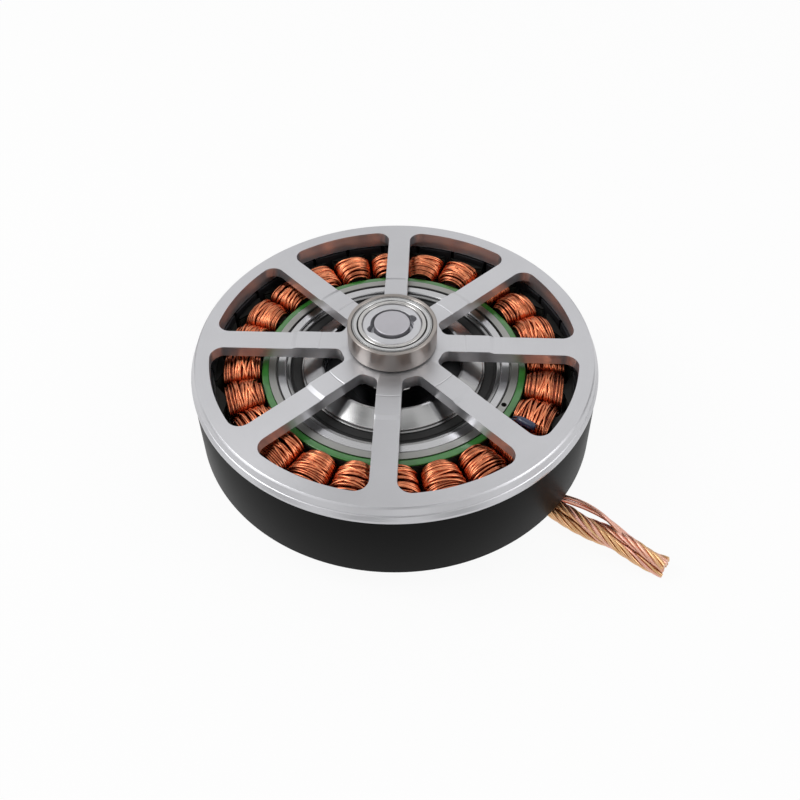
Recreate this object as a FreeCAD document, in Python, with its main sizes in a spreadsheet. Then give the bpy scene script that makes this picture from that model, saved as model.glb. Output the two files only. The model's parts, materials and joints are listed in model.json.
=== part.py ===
"""Frameless outrunner joint actuator: a spoked rotor round a wound stator, which drives
a planetary stage inside the stator's own bore.

Frame: origin at the centre of the base's mounting face, +Z along the axis towards the
encoder end, spokes on every 45 degrees. Millimetres and degrees.
"""
import FreeCAD, Part
import math
import os

import Sketcher

# ---------------------------------------------------------------- driving dimensions

SIZES = {
    "Rotor": {
        "rotor_lift": (5.0, "base face to the lower edge of the rotor skirt"),
        "rotor_wall": (1.6, "wall of the steel skirt"),
        "skirt_height": (12.77, "height of the steel skirt"),
        "rim_height": (2.63, "height of the cover's edge above the skirt"),
        "rim_proud": (0.1, "cover's edge beyond the skirt"),
        "rim_taper": (1.0, "cover's edge, bottom radius less top radius"),
        "rim_land": (2.3, "flat land between the cover's top edge and the windows"),
        "rim_groove": (0.15, "depth of the turned groove round the edge"),
        "spigot_depth": (0.8, "cover's spigot inside the skirt"),
        "spigot_step": (0.3, "spigot's bore beyond the windows' outer edge"),
        "spoke_count": (8, "spokes in the cover"),
        "spoke_width": (4.03, "width of a spoke"),
        "spoke_thickness": (2.0, "thickness of a spoke"),
        "plateau_radius": (16.4, "raised middle of the spokes"),
        "plateau_ramp": (0.8, "length of the ramp up to the raised middle"),
        "plateau_rise": (0.3, "height of the raised middle"),
        "hub_radius": (8.8, "solid hub between the spokes"),
        "outer_fillet": (2.2, "window corners at the rim"),
        "inner_fillet": (1.3, "window corners at the hub"),
        "boss_radius": (5.2, "boss under the hub"),
        "magnet_count": (28, "rotor poles"),
        "magnet_width": (6.3, "pole magnet, across"),
        "magnet_thickness": (1.5, "pole magnet, radially"),
        "magnet_length": (10.2, "pole magnet, along the axis"),
        "magnet_drop": (0.2, "magnet below the cover's spigot"),
        "glue_gap": (0.03, "bond line at a magnet's corners"),
        "encoder_radius": (3.0, "encoder magnet"),
        "encoder_length": (2.5, "encoder magnet"),
        "encoder_gap": (0.6, "pocket wall to the encoder magnet"),
        "encoder_proud": (0.3, "encoder magnet above the hub's nose"),
        "relief_radius": (0.9, "two glue reliefs beside the encoder pocket"),
        "relief_depth": (1.4, "depth of the glue reliefs"),
        "nose_chamfer": (0.2, "edge of the hub's nose"),
        "nose_drop": (0.2, "hub's nose below the bearing's face"),
    },
    "Stator": {
        "slot_count": (24, "stator teeth"),
        "tooth_turn": (4.5, "first tooth's angle from the X axis"),
        "air_gap": (0.35, "pole magnets to the stator teeth"),
        "core_height": (8.0, "lamination stack"),
        "core_bottom": (7.6, "underside of the stack above the base face"),
        "core_bore": (21.4, "stack's bore radius"),
        "yoke_width": (1.2, "ring of iron inside the teeth"),
        "tooth_length": (7.07, "tooth from the ring of iron to its shoe"),
        "tooth_width": (2.2, "tooth across"),
        "shoe_height": (0.9, "tooth shoe, radially"),
        "slot_opening": (1.5, "between two tooth shoes"),
        "insulator": (0.4, "green insulating plate"),
        "coil_build": (1.5, "winding above and below a tooth"),
        "coil_gap": (0.15, "winding to its neighbours"),
        "coil_fit": (0.1, "winding to the tooth inside it"),
        "coil_corner": (1.3, "corner of a winding"),
        "sensor_radius": (0.7, "temperature bead between two coils"),
        "sensor_length": (3.4, "temperature bead"),
        "sensor_inset": (3.77, "temperature bead's middle inside the tooth shoes"),
        "sensor_step": (-2, "teeth from the first tooth to the bead"),
    },
    "Base": {
        "base_radius": (30.0, "mounting disc"),
        "base_rim_height": (4.4, "raised edge of the mounting disc"),
        "base_rim_wall": (1.5, "raised edge of the mounting disc"),
        "base_floor": (2.4, "floor between the edge and the tube"),
        "tube_top": (16.2, "top of the tube that carries the stack"),
        "tube_ledge": (0.9, "ledge under the stack"),
        "tube_relief": (0.25, "clearance round the ring gear's top"),
        "tube_relief_depth": (1.2, "depth of that clearance"),
        "sill_height": (1.0, "lip under the lower bearing"),
        "sill_width": (0.9, "lip under the lower bearing"),
        "mount_circle": (25.5, "mounting holes, circle radius"),
        "mount_hole": (1.25, "mounting holes, tapped, core radius"),
        "mount_count": (6, "mounting holes"),
        "mount_turn": (30.0, "first mounting hole from the lead channel"),
        "probe_hole": (0.45, "probe hole in the tube's end, radius"),
        "probe_depth": (3.0, "probe hole, depth"),
        "probe_turn": (9.0, "probe hole from the lead channel"),
        "lead_azimuth": (-36.0, "direction of the lead channel"),
        "lead_radius": (1.9, "twisted lead bundle"),
        "channel_gap": (0.3, "lead channel's side to the bundle"),
        "channel_start": (20.0, "inner end of the lead channel"),
        "lead_height": (2.15, "bundle's middle above the base face"),
    },
    "Gears": {
        "gear_module": (0.6, "module"),
        "pressure_angle": (20.0, "pressure angle"),
        "sun_teeth": (12, "sun gear"),
        "planet_teeth": (18, "each planet gear"),
        "planet_count": (3, "planets"),
        "addendum": (0.85, "tooth above the pitch circle, in modules"),
        "dedendum": (1.15, "tooth below the pitch circle, in modules"),
        "backlash": (0.035, "tooth thinning on each flank"),
        "gear_bottom": (6.3, "gears' lower face above the base face"),
        "gear_width": (4.2, "face width"),
        "gear_side_gap": (0.3, "gears to the carrier's plates"),
        "pin_radius": (1.5, "planet pin"),
        "pin_fit": (0.03, "planet bore to its pin"),
        "ring_radius": (19.97, "outside of the ring gear"),
        "ring_edge": (0.15, "chamfer on the ring gear's top"),
        "ring_top": (16.0, "ring gear's upper face above the base face"),
        "ring_bore": (17.3, "ring gear's bore above its teeth"),
        "ring_screw": (1.0, "ring gear's screws, shank radius"),
        "ring_screw_circle": (17.4, "ring gear's screws, circle radius"),
        "ring_screw_head": (1.9, "ring gear's screws, head radius"),
        "ring_screw_reach": (4.0, "ring gear's screws above their seat"),
        "screw_fit": (0.1, "screw shank to its clearance hole"),
        "head_sink": (0.3, "base screws' heads below the base face"),
        "head_height": (1.4, "base screws' heads"),
    },
    "Carrier": {
        "output_sink": (0.4, "output face above the base face"),
        "output_bore": (2.2, "hole through the output flange"),
        "plate_gap": (0.1, "lower carrier plate's edge to its bearing's outer ring"),
        "plate_thickness": (0.8, "lower carrier plate"),
        "plate_step": (0.2, "lower carrier plate above its bearing"),
        "pillar_radius": (2.4, "carrier pillar"),
        "pillar_circle": (9.85, "carrier pillars, circle radius"),
        "upper_plate": (2.0, "upper carrier plate"),
        "seat_plate": (1.2, "upper carrier plate under the rotor's bearing"),
        "shoulder_width": (1.0, "shoulder under the main bearing"),
        "shoulder_height": (0.8, "shoulder under the main bearing"),
        "nest_wall": (0.8, "wall round the rotor's bearing"),
        "collar_wall": (2.0, "collar inside the main bearing"),
        "collar_drop": (0.1, "collar below the main bearing's face"),
        "lock_bore": (11.9, "lock ring's bore"),
        "lock_depth": (2.2, "lock ring's spigot"),
        "lock_overlap": (0.4, "lock ring over the main bearing's inner ring"),
        "lock_edge": (0.35, "lock ring's outer edge"),
        "lock_rise": (1.7, "lock ring's height above the main bearing"),
        "lock_lip": (0.5, "flat lip at the lock ring's bore"),
        "carrier_screw": (0.8, "carrier screws, shank radius"),
        "carrier_head": (1.6, "carrier screws, head radius"),
        "carrier_head_height": (1.2, "carrier screws, head height"),
        "carrier_screw_reach": (3.2, "carrier screws below the upper plate"),
        "socket_width": (0.75, "screw sockets, half the width across flats"),
        "socket_depth": (0.7, "screw sockets"),
        "output_circle": (6.5, "output holes, circle radius"),
        "output_hole": (1.25, "output holes, tapped, core radius"),
        "output_depth": (3.0, "output holes"),
        "pin_head": (1.1, "planet pins in the upper carrier"),
        "shaft_root": (2.6, "shaft between the sun gear and its journal"),
        "shaft_spigot": (3.0, "shaft in the rotor hub"),
        "spigot_reach": (4.8, "shaft in the rotor hub"),
        "boss_gap": (0.2, "rotor's boss above its lower bearing"),
    },
    "Bearings": {
        "hub_bore": (5.0, "hub bearing, bore radius"),
        "hub_outer": (7.5, "hub bearing, outer radius"),
        "hub_width": (4.0, "hub bearing, width"),
        "hub_ring": (0.7, "hub bearing, ring thickness"),
        "hub_shoulder": (0.3, "step that carries the hub bearing"),
        "main_bore": (15.0, "main bearing, bore radius"),
        "main_outer": (18.5, "main bearing, outer radius"),
        "main_width": (4.0, "main bearing, width"),
        "main_ring": (0.75, "main bearing, ring thickness"),
        "lower_bore": (10.0, "lower bearing, bore radius"),
        "lower_outer": (13.5, "lower bearing, outer radius"),
        "lower_width": (4.0, "lower bearing, width"),
        "lower_ring": (0.8, "lower bearing, ring thickness"),
        "shaft_bore": (4.0, "rotor's lower bearing, bore radius"),
        "shaft_outer": (7.0, "rotor's lower bearing, outer radius"),
        "shaft_width": (4.0, "rotor's lower bearing, width"),
        "shaft_ring": (0.8, "rotor's lower bearing, ring thickness"),
        "pilot_bore": (1.5, "pilot bearing, bore radius"),
        "pilot_outer": (3.0, "pilot bearing, outer radius"),
        "pilot_width": (2.5, "pilot bearing, width"),
        "pilot_ring": (0.5, "pilot bearing, ring thickness"),
        "seal_thickness": (0.3, "bearing seals"),
        "seal_sink": (0.1, "seals below the rings' faces"),
        "seal_gap": (0.06, "seals to the inner rings"),
        "bearing_edge": (0.2, "corner of a bearing ring"),
    },
}


class Dim:
    """A length or an angle: its value now, and the expression that gives it."""

    def __init__(self, value, text):
        self.value = value
        self.text = text

    def __add__(self, other):
        other = as_dim(other)
        return Dim(self.value + other.value, "(%s + %s)" % (self.text, other.text))

    def __sub__(self, other):
        other = as_dim(other)
        return Dim(self.value - other.value, "(%s - %s)" % (self.text, other.text))

    def __mul__(self, other):
        other = as_dim(other)
        return Dim(self.value * other.value, "(%s * %s)" % (self.text, other.text))

    def __truediv__(self, other):
        other = as_dim(other)
        return Dim(self.value / other.value, "(%s / %s)" % (self.text, other.text))

    def __neg__(self):
        return Dim(-self.value, "(-1 * %s)" % self.text)


def as_dim(number):
    """A plain number as a Dim, so that the two mix."""
    return number if isinstance(number, Dim) else Dim(float(number), repr(float(number)))


def leg(long_side, side):
    """The other short side of a right-angled triangle."""
    value = math.sqrt(long_side.value ** 2 - side.value ** 2)
    return Dim(value, "sqrt(%s ^ 2 - %s ^ 2)" % (long_side.text, side.text))


def hypotenuse(side, other):
    """The long side of a right-angled triangle."""
    value = math.hypot(side.value, other.value)
    return Dim(value, "sqrt(%s ^ 2 + %s ^ 2)" % (side.text, other.text))


def tan_half_pitch(count):
    """Tangent of half of one division of the circle."""
    return Dim(math.tan(math.pi / count.value), "tan(180 deg / %s)" % count.text)


doc = FreeCAD.newDocument("joint_actuator")


class Sheet:
    """The spreadsheet of driving dimensions; each alias reads as a Dim."""

    def __init__(self):
        self.cells = {}
        sheet = doc.addObject("Spreadsheet::Sheet", "Sizes")
        row = 1
        for group, sizes in SIZES.items():
            sheet.set("A%d" % row, group)
            row += 1
            for alias, (value, meaning) in sizes.items():
                sheet.set("A%d" % row, meaning)
                sheet.set("B%d" % row, repr(value))
                sheet.setAlias("B%d" % row, alias)
                self.cells[alias] = Dim(value, "Sizes." + alias)
                row += 1
        doc.recompute()

    def __getattr__(self, alias):
        return self.cells[alias]


s = Sheet()

ZERO = as_dim(0)
pieces = {}


def keep(obj, label):
    """Name a finished sub-part."""
    obj.Label = label
    pieces[label] = obj
    return obj


# ---------------------------------------------------------------- sketching helpers

def new_body(label):
    """A PartDesign body that may hold several separate solids."""
    body = doc.addObject("PartDesign::Body", label)
    body.AllowCompound = True
    return body


def origin_part(body, role):
    """One of a body's own origin planes or axes."""
    return next(item for item in body.Origin.OriginFeatures if item.Role == role)


def new_sketch(body, name, role, offset=None):
    """A sketch on one of the body's origin planes, moved along its normal."""
    sketch = body.newObject("Sketcher::SketchObject", name)
    sketch.AttachmentSupport = [(origin_part(body, role), "")]
    sketch.MapMode = "FlatFace"
    if offset is not None:
        sketch.setExpression(".AttachmentOffset.Base.z", offset.text)
    return sketch


def pin_point(sketch, geo, pos, across, up):
    """Hold one point of the sketch at its distances from the origin."""
    for kind, dim, axis in (("DistanceX", across, -2), ("DistanceY", up, -1)):
        if dim is None:
            continue
        if dim is ZERO:
            sketch.addConstraint(Sketcher.Constraint("PointOnObject", geo, pos, axis))
            continue
        index = sketch.addConstraint(
            Sketcher.Constraint(kind, -1, 1, geo, pos, dim.value))
        sketch.setExpression("Constraints[%d]" % index, dim.text)


def polygon(sketch, points):
    """A closed outline of straight edges through points given as Dims."""
    first = sketch.GeometryCount
    count = len(points)
    for k, (across, up) in enumerate(points):
        end_across, end_up = points[(k + 1) % count]
        start = FreeCAD.Vector(across.value, up.value, 0)
        end = FreeCAD.Vector(end_across.value, end_up.value, 0)
        sketch.addGeometry(Part.LineSegment(start, end), False)
    for k in range(count):
        sketch.addConstraint(Sketcher.Constraint(
            "Coincident", first + k, 2, first + (k + 1) % count, 1))
    for k, (across, up) in enumerate(points):
        pin_point(sketch, first + k, 1, across, up)


def circle(sketch, radius, across=ZERO, up=ZERO):
    """A circle with its centre held at a point given as Dims."""
    centre = FreeCAD.Vector(across.value, up.value, 0)
    geo = sketch.addGeometry(
        Part.Circle(centre, FreeCAD.Vector(0, 0, 1), radius.value), False)
    index = sketch.addConstraint(Sketcher.Constraint("Radius", geo, radius.value))
    sketch.setExpression("Constraints[%d]" % index, radius.text)
    if across is ZERO and up is ZERO:
        sketch.addConstraint(Sketcher.Constraint("Coincident", geo, 3, -1, 1))
    else:
        pin_point(sketch, geo, 3, across, up)


def revolve(body, name, points):
    """A turned feature: a half-section of (radius, height) points round the Z axis."""
    sketch = new_sketch(body, name + "_section", "XZ_Plane")
    polygon(sketch, points)
    turned = body.newObject("PartDesign::Revolution", name)
    turned.Profile = sketch
    turned.ReferenceAxis = (sketch, ["V_Axis"])
    turned.Angle = 360.0
    return turned


def pad(body, name, sketch, length, midplane=False):
    """An extrusion of a sketch."""
    feature = body.newObject("PartDesign::Pad", name)
    feature.Profile = sketch
    feature.Midplane = midplane
    feature.setExpression("Length", length.text)
    return feature


def pocket(body, name, sketch, depth, upwards=False):
    """A cut from a sketch, which must take material away."""
    doc.recompute()
    before = body.Shape.Volume
    feature = body.newObject("PartDesign::Pocket", name)
    feature.Profile = sketch
    feature.Reversed = upwards
    feature.setExpression("Length", depth.text)
    doc.recompute()
    if not body.Shape.Volume < before - 1e-6:
        raise RuntimeError(name + " cuts nothing")
    return feature


def ring_pattern(body, name, features, count):
    """Copies of features, evenly round the Z axis."""
    pattern = body.newObject("PartDesign::PolarPattern", name)
    pattern.Originals = features
    pattern.Axis = (origin_part(body, "Z_Axis"), [""])
    pattern.Angle = 360.0
    pattern.setExpression("Occurrences", count.text)
    body.Tip = pattern
    return pattern


def turned_piece(label, points):
    """A sub-part that is one turned solid."""
    body = new_body(label)
    revolve(body, "turned", points)
    return keep(body, label)


def hole_ring(body, name, radius, ring, count, height, depth, upwards=False):
    """A ring of round holes from one face; the first hole is on the X axis."""
    sketch = new_sketch(body, name + "_outline", "XY_Plane", height)
    circle(sketch, radius, ring, ZERO)
    hole = pocket(body, name, sketch, depth, upwards)
    return ring_pattern(body, name + "_ring", [hole], count)


def turn_body(body, angle):
    """Turn a finished sub-part about the Z axis."""
    body.setExpression(".Placement.Rotation.Angle", angle.text)
    body.Placement = FreeCAD.Placement(
        FreeCAD.Vector(), FreeCAD.Rotation(FreeCAD.Vector(0, 0, 1), angle.value))


def at_angle(radius, angle, height=0.0):
    """A point from its radius, its angle in degrees and its height."""
    turn = math.radians(angle)
    return FreeCAD.Vector(radius * math.cos(turn), radius * math.sin(turn), height)


# ---------------------------------------------------------------- shared heights and radii

cover_bottom = s.rotor_lift + s.skirt_height
cover_top = cover_bottom + s.rim_height
spoke_bottom = cover_top - s.spoke_thickness
hub_top = cover_top + s.plateau_rise
hub_bearing_bottom = hub_top + s.hub_shoulder
hub_bearing_top = hub_bearing_bottom + s.hub_width
nose_top = hub_bearing_top - s.nose_drop
encoder_top = nose_top + s.encoder_proud
encoder_bottom = encoder_top - s.encoder_length

yoke_radius = s.core_bore + s.yoke_width
shoe_radius = yoke_radius + s.tooth_length
stator_radius = shoe_radius + s.shoe_height
magnet_inner = stator_radius + s.air_gap
magnet_outer = magnet_inner + s.magnet_thickness
skirt_bore = hypotenuse(magnet_outer, s.magnet_width / 2) + s.glue_gap
rotor_radius = skirt_bore + s.rotor_wall
cover_radius = rotor_radius + s.rim_proud
rim_top_radius = cover_radius - s.rim_taper
window_radius = rim_top_radius - s.rim_land

core_top = s.core_bottom + s.core_height
insulated_top = core_top + s.insulator
insulated_bottom = s.core_bottom - s.insulator
tooth_pitch = tan_half_pitch(s.slot_count)

gear_top = s.gear_bottom + s.gear_width
lower_bearing_top = s.sill_height + s.lower_width
carrier_plate_bottom = lower_bearing_top + s.plate_step
carrier_plate_top = carrier_plate_bottom + s.plate_thickness
carrier_plate_radius = s.lower_outer - s.lower_ring - s.plate_gap
upper_plate_bottom = gear_top + s.gear_side_gap
upper_plate_top = upper_plate_bottom + s.upper_plate
main_bearing_bottom = upper_plate_bottom + s.shoulder_height
main_bearing_top = main_bearing_bottom + s.main_width
shaft_bearing_bottom = upper_plate_bottom + s.seat_plate
shaft_bearing_top = shaft_bearing_bottom + s.shaft_width
pilot_bearing_bottom = carrier_plate_top - s.pilot_width
boss_bottom = shaft_bearing_top + s.boss_gap
ring_teeth_top = gear_top + s.gear_side_gap / 2


# ---------------------------------------------------------------- rotor

def rotor_cover():
    """Machined cover: edge, eight spokes and the hub that carries the bearing."""
    body = new_body("rotor_cover")
    spigot_bore = window_radius + s.spigot_step
    groove = s.rim_groove
    revolve(body, "edge", (
        (spigot_bore, cover_bottom - s.spigot_depth),
        (skirt_bore, cover_bottom - s.spigot_depth),
        (skirt_bore, cover_bottom),
        (cover_radius, cover_bottom),
        (cover_radius, cover_bottom + groove * 3),
        (cover_radius - s.rim_taper * 0.35, cover_bottom + s.rim_height * 0.42),
        (cover_radius - s.rim_taper * 0.35 - groove, cover_bottom + s.rim_height * 0.45),
        (cover_radius - s.rim_taper * 0.35 - groove, cover_bottom + s.rim_height * 0.5),
        (cover_radius - s.rim_taper * 0.4, cover_bottom + s.rim_height * 0.53),
        (cover_radius - s.rim_taper * 0.75, cover_top - s.rim_taper * 0.25),
        (rim_top_radius, cover_top),
        (window_radius, cover_top),
        (window_radius, spoke_bottom),
        (spigot_bore, spoke_bottom),
    ))
    side = new_sketch(body, "spoke_side", "XZ_Plane")
    polygon(side, (
        (ZERO, spoke_bottom),
        (window_radius + s.rim_land / 2, spoke_bottom),
        (window_radius + s.rim_land / 2, cover_top),
        (s.plateau_radius + s.plateau_ramp, cover_top),
        (s.plateau_radius, hub_top),
        (ZERO, hub_top),
    ))
    spoke = pad(body, "spoke", side, s.spoke_width, midplane=True)
    ring_pattern(body, "spokes", [spoke], s.spoke_count)
    shoulder = s.hub_bore + s.hub_ring
    revolve(body, "hub", (
        (ZERO, boss_bottom + s.spigot_reach),
        (s.shaft_spigot, boss_bottom + s.spigot_reach),
        (s.shaft_spigot, boss_bottom),
        (s.boss_radius, boss_bottom),
        (s.boss_radius, spoke_bottom),
        (s.hub_radius, spoke_bottom),
        (s.hub_radius, hub_top),
        (shoulder, hub_top),
        (shoulder, hub_bearing_bottom),
        (s.hub_bore, hub_bearing_bottom),
        (s.hub_bore, nose_top - s.nose_chamfer),
        (s.hub_bore - s.nose_chamfer, nose_top),
        (ZERO, nose_top),
    ))
    bore = new_sketch(body, "shaft_bore_outline", "XY_Plane", boss_bottom)
    circle(bore, s.shaft_spigot)
    pocket(body, "shaft_bore", bore, s.spigot_reach, upwards=True)
    seat = new_sketch(body, "encoder_seat_outline", "XY_Plane", nose_top)
    circle(seat, s.encoder_radius + s.encoder_gap)
    pocket(body, "encoder_seat", seat, nose_top - encoder_bottom)
    relief = new_sketch(body, "glue_relief_outline", "XY_Plane", nose_top)
    circle(relief, s.relief_radius, s.encoder_radius * 1.05, s.encoder_radius * 0.45)
    cut = pocket(body, "glue_relief", relief, s.relief_depth)
    ring_pattern(body, "glue_reliefs", [cut], as_dim(2))
    doc.recompute()
    round_windows(body)
    return keep(body, "rotor_cover")


def round_windows(body):
    """Fillet the upright edges where the spokes meet the rim and the hub."""
    for name, radius, size in (
            ("rim_corners", window_radius, s.outer_fillet),
            ("hub_corners", s.hub_radius, s.inner_fillet)):
        half_width = s.spoke_width.value / 2
        corners = []
        for index, edge in enumerate(body.Shape.Edges, 1):
            ends = [vertex.Point for vertex in edge.Vertexes]
            if len(ends) != 2 or edge.Length < s.spoke_thickness.value * 0.9:
                continue
            upright = math.dist(ends[0][:2], ends[1][:2]) < 1e-6
            reach = math.hypot(ends[0].x, ends[0].y)
            if upright and abs(reach - radius.value) < half_width * 0.1:
                corners.append("Edge%d" % index)
        base = body.Tip
        fillet = body.newObject("PartDesign::Fillet", name)
        fillet.Base = (base, corners)
        fillet.setExpression("Radius", size.text)
        body.Tip = fillet
        doc.recompute()


def flux_ring():
    """Plain steel skirt that closes the magnets' field."""
    edge = s.rotor_wall / 5
    return turned_piece("flux_ring", (
        (skirt_bore, s.rotor_lift),
        (rotor_radius - edge, s.rotor_lift),
        (rotor_radius, s.rotor_lift + edge),
        (rotor_radius, cover_bottom),
        (skirt_bore, cover_bottom),
    ))


def rotor_magnets():
    """Flat pole magnets bonded inside the skirt."""
    body = new_body("rotor_magnets")
    magnet_top = cover_bottom - s.spigot_depth - s.magnet_drop
    outline = new_sketch(body, "magnet_outline", "XY_Plane", magnet_top - s.magnet_length)
    polygon(outline, (
        (magnet_inner, -s.magnet_width / 2),
        (magnet_outer, -s.magnet_width / 2),
        (magnet_outer, s.magnet_width / 2),
        (magnet_inner, s.magnet_width / 2),
    ))
    magnet = pad(body, "magnet", outline, s.magnet_length)
    ring_pattern(body, "magnets", [magnet], s.magnet_count)
    return keep(body, "rotor_magnets")


def encoder_magnet():
    """Magnet disc that the position sensor reads."""
    disc = doc.addObject("Part::Cylinder", "encoder_magnet")
    disc.setExpression("Radius", s.encoder_radius.text)
    disc.setExpression("Height", s.encoder_length.text)
    disc.setExpression(".Placement.Base.z", encoder_bottom.text)
    return keep(disc, "encoder_magnet")


# ---------------------------------------------------------------- stator

def toothed_plate(label, bottom, height):
    """The stator's outline: a ring of iron with T-shaped teeth."""
    body = new_body(label)
    revolve(body, "yoke", (
        (s.core_bore, bottom),
        (yoke_radius, bottom),
        (yoke_radius, bottom + height),
        (s.core_bore, bottom + height),
    ))
    half = s.tooth_width / 2
    shoe_half = stator_radius * tooth_pitch - s.slot_opening / 2
    shoe_face = leg(stator_radius, shoe_half)
    outline = new_sketch(body, "tooth_outline", "XY_Plane", bottom)
    polygon(outline, (
        (yoke_radius - s.yoke_width / 2, -half),
        (shoe_radius - s.shoe_height / 2, -half),
        (shoe_face - s.shoe_height / 3, -shoe_half),
        (shoe_face, -shoe_half),
        (stator_radius, ZERO),
        (shoe_face, shoe_half),
        (shoe_face - s.shoe_height / 3, shoe_half),
        (shoe_radius - s.shoe_height / 2, half),
        (yoke_radius - s.yoke_width / 2, half),
    ))
    tooth = pad(body, "tooth", outline, height)
    ring_pattern(body, "teeth", [tooth], s.slot_count)
    turn_body(body, s.tooth_turn)
    return keep(body, label)


def coil_outline(body, name, reach, half_width, bottom, top):
    """An eight-sided section across a winding, at one radius."""
    corner = s.coil_corner
    section = new_sketch(body, name, "YZ_Plane", reach)
    polygon(section, (
        (-(half_width - corner), bottom),
        (half_width - corner, bottom),
        (half_width, bottom + corner),
        (half_width, top - corner),
        (half_width - corner, top),
        (-(half_width - corner), top),
        (-half_width, top - corner),
        (-half_width, bottom + corner),
    ))
    return section


def first_coil(label):
    """The first coil of a phase, wound round its tooth."""
    body = new_body(label)
    start = yoke_radius + s.coil_gap
    stop = shoe_radius - s.shoe_height / 2 - s.coil_gap
    window_bottom = insulated_bottom - s.coil_fit
    window_top = insulated_top + s.coil_fit
    bottom = window_bottom - s.coil_build
    top = window_top + s.coil_build
    inner = coil_outline(body, "inner_end", start, start * tooth_pitch - s.coil_gap,
                         bottom, top)
    outer = coil_outline(body, "outer_end", stop, stop * tooth_pitch - s.coil_gap,
                         bottom, top)
    coil = body.newObject("PartDesign::AdditiveLoft", "coil")
    coil.Profile = inner
    coil.Sections = [outer]
    coil.Ruled = True
    doc.recompute()
    half = s.tooth_width / 2 + s.coil_fit
    window = new_sketch(body, "tooth_window", "YZ_Plane", stop + s.coil_gap)
    polygon(window, (
        (-half, window_bottom),
        (half, window_bottom),
        (half, window_top),
        (-half, window_top),
    ))
    cut = pocket(body, "tooth_slot", window, stop - start + s.coil_gap * 2)
    return body, coil, cut


def pair_and_ring(body, features):
    """Copy a coil to the next tooth, and the pair to every quarter of the stator."""
    many = body.newObject("PartDesign::MultiTransform", "coils")
    many.Originals = features
    axis = (origin_part(body, "Z_Axis"), [""])
    pair = body.newObject("PartDesign::PolarPattern", "pair")
    pair.Axis = axis
    pair.Mode = "Spacing"
    pair.setExpression("Offset", (as_dim(360) / s.slot_count).text)
    pair.Occurrences = 2
    quarters = body.newObject("PartDesign::PolarPattern", "quarters")
    quarters.Axis = axis
    quarters.Angle = 360.0
    quarters.Occurrences = 4
    many.Transformations = [pair, quarters]
    body.Tip = many


def windings():
    """Three phases; each has two neighbouring coils in every quarter."""
    for phase, label in enumerate(("windings_phase_a", "windings_phase_b", "windings_phase_c")):
        body, coil, cut = first_coil(label)
        pair_and_ring(body, [coil, cut])
        turn_body(body, s.tooth_turn + as_dim(360) / s.slot_count * (2 * phase))
        keep(body, label)


def temperature_sensor():
    """Bead that lies in the groove between two coils."""
    start = yoke_radius + s.coil_gap
    bead = doc.addObject("Part::Cylinder", "temperature_sensor")
    bead.setExpression("Radius", s.sensor_radius.text)
    bead.setExpression("Height", s.sensor_length.text)
    coil_top = insulated_top.value + s.coil_fit.value + s.coil_build.value
    groove = coil_top - s.coil_corner.value - s.coil_gap.value
    height = groove + s.sensor_radius.value * math.sqrt(2) + s.coil_gap.value / 2
    pitch = 360.0 / s.slot_count.value
    angle = s.tooth_turn.value + pitch * (s.sensor_step.value - 0.5)
    seat = shoe_radius - s.sensor_inset
    inner = max(start.value, seat.value - s.sensor_length.value / 2)
    spin = FreeCAD.Rotation(FreeCAD.Vector(0, 0, 1), angle)
    lay = FreeCAD.Rotation(FreeCAD.Vector(0, 1, 0), 90)
    bead.Placement = FreeCAD.Placement(at_angle(inner, angle, height), spin * lay)
    return keep(bead, "temperature_sensor")


# ---------------------------------------------------------------- base and leads

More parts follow.
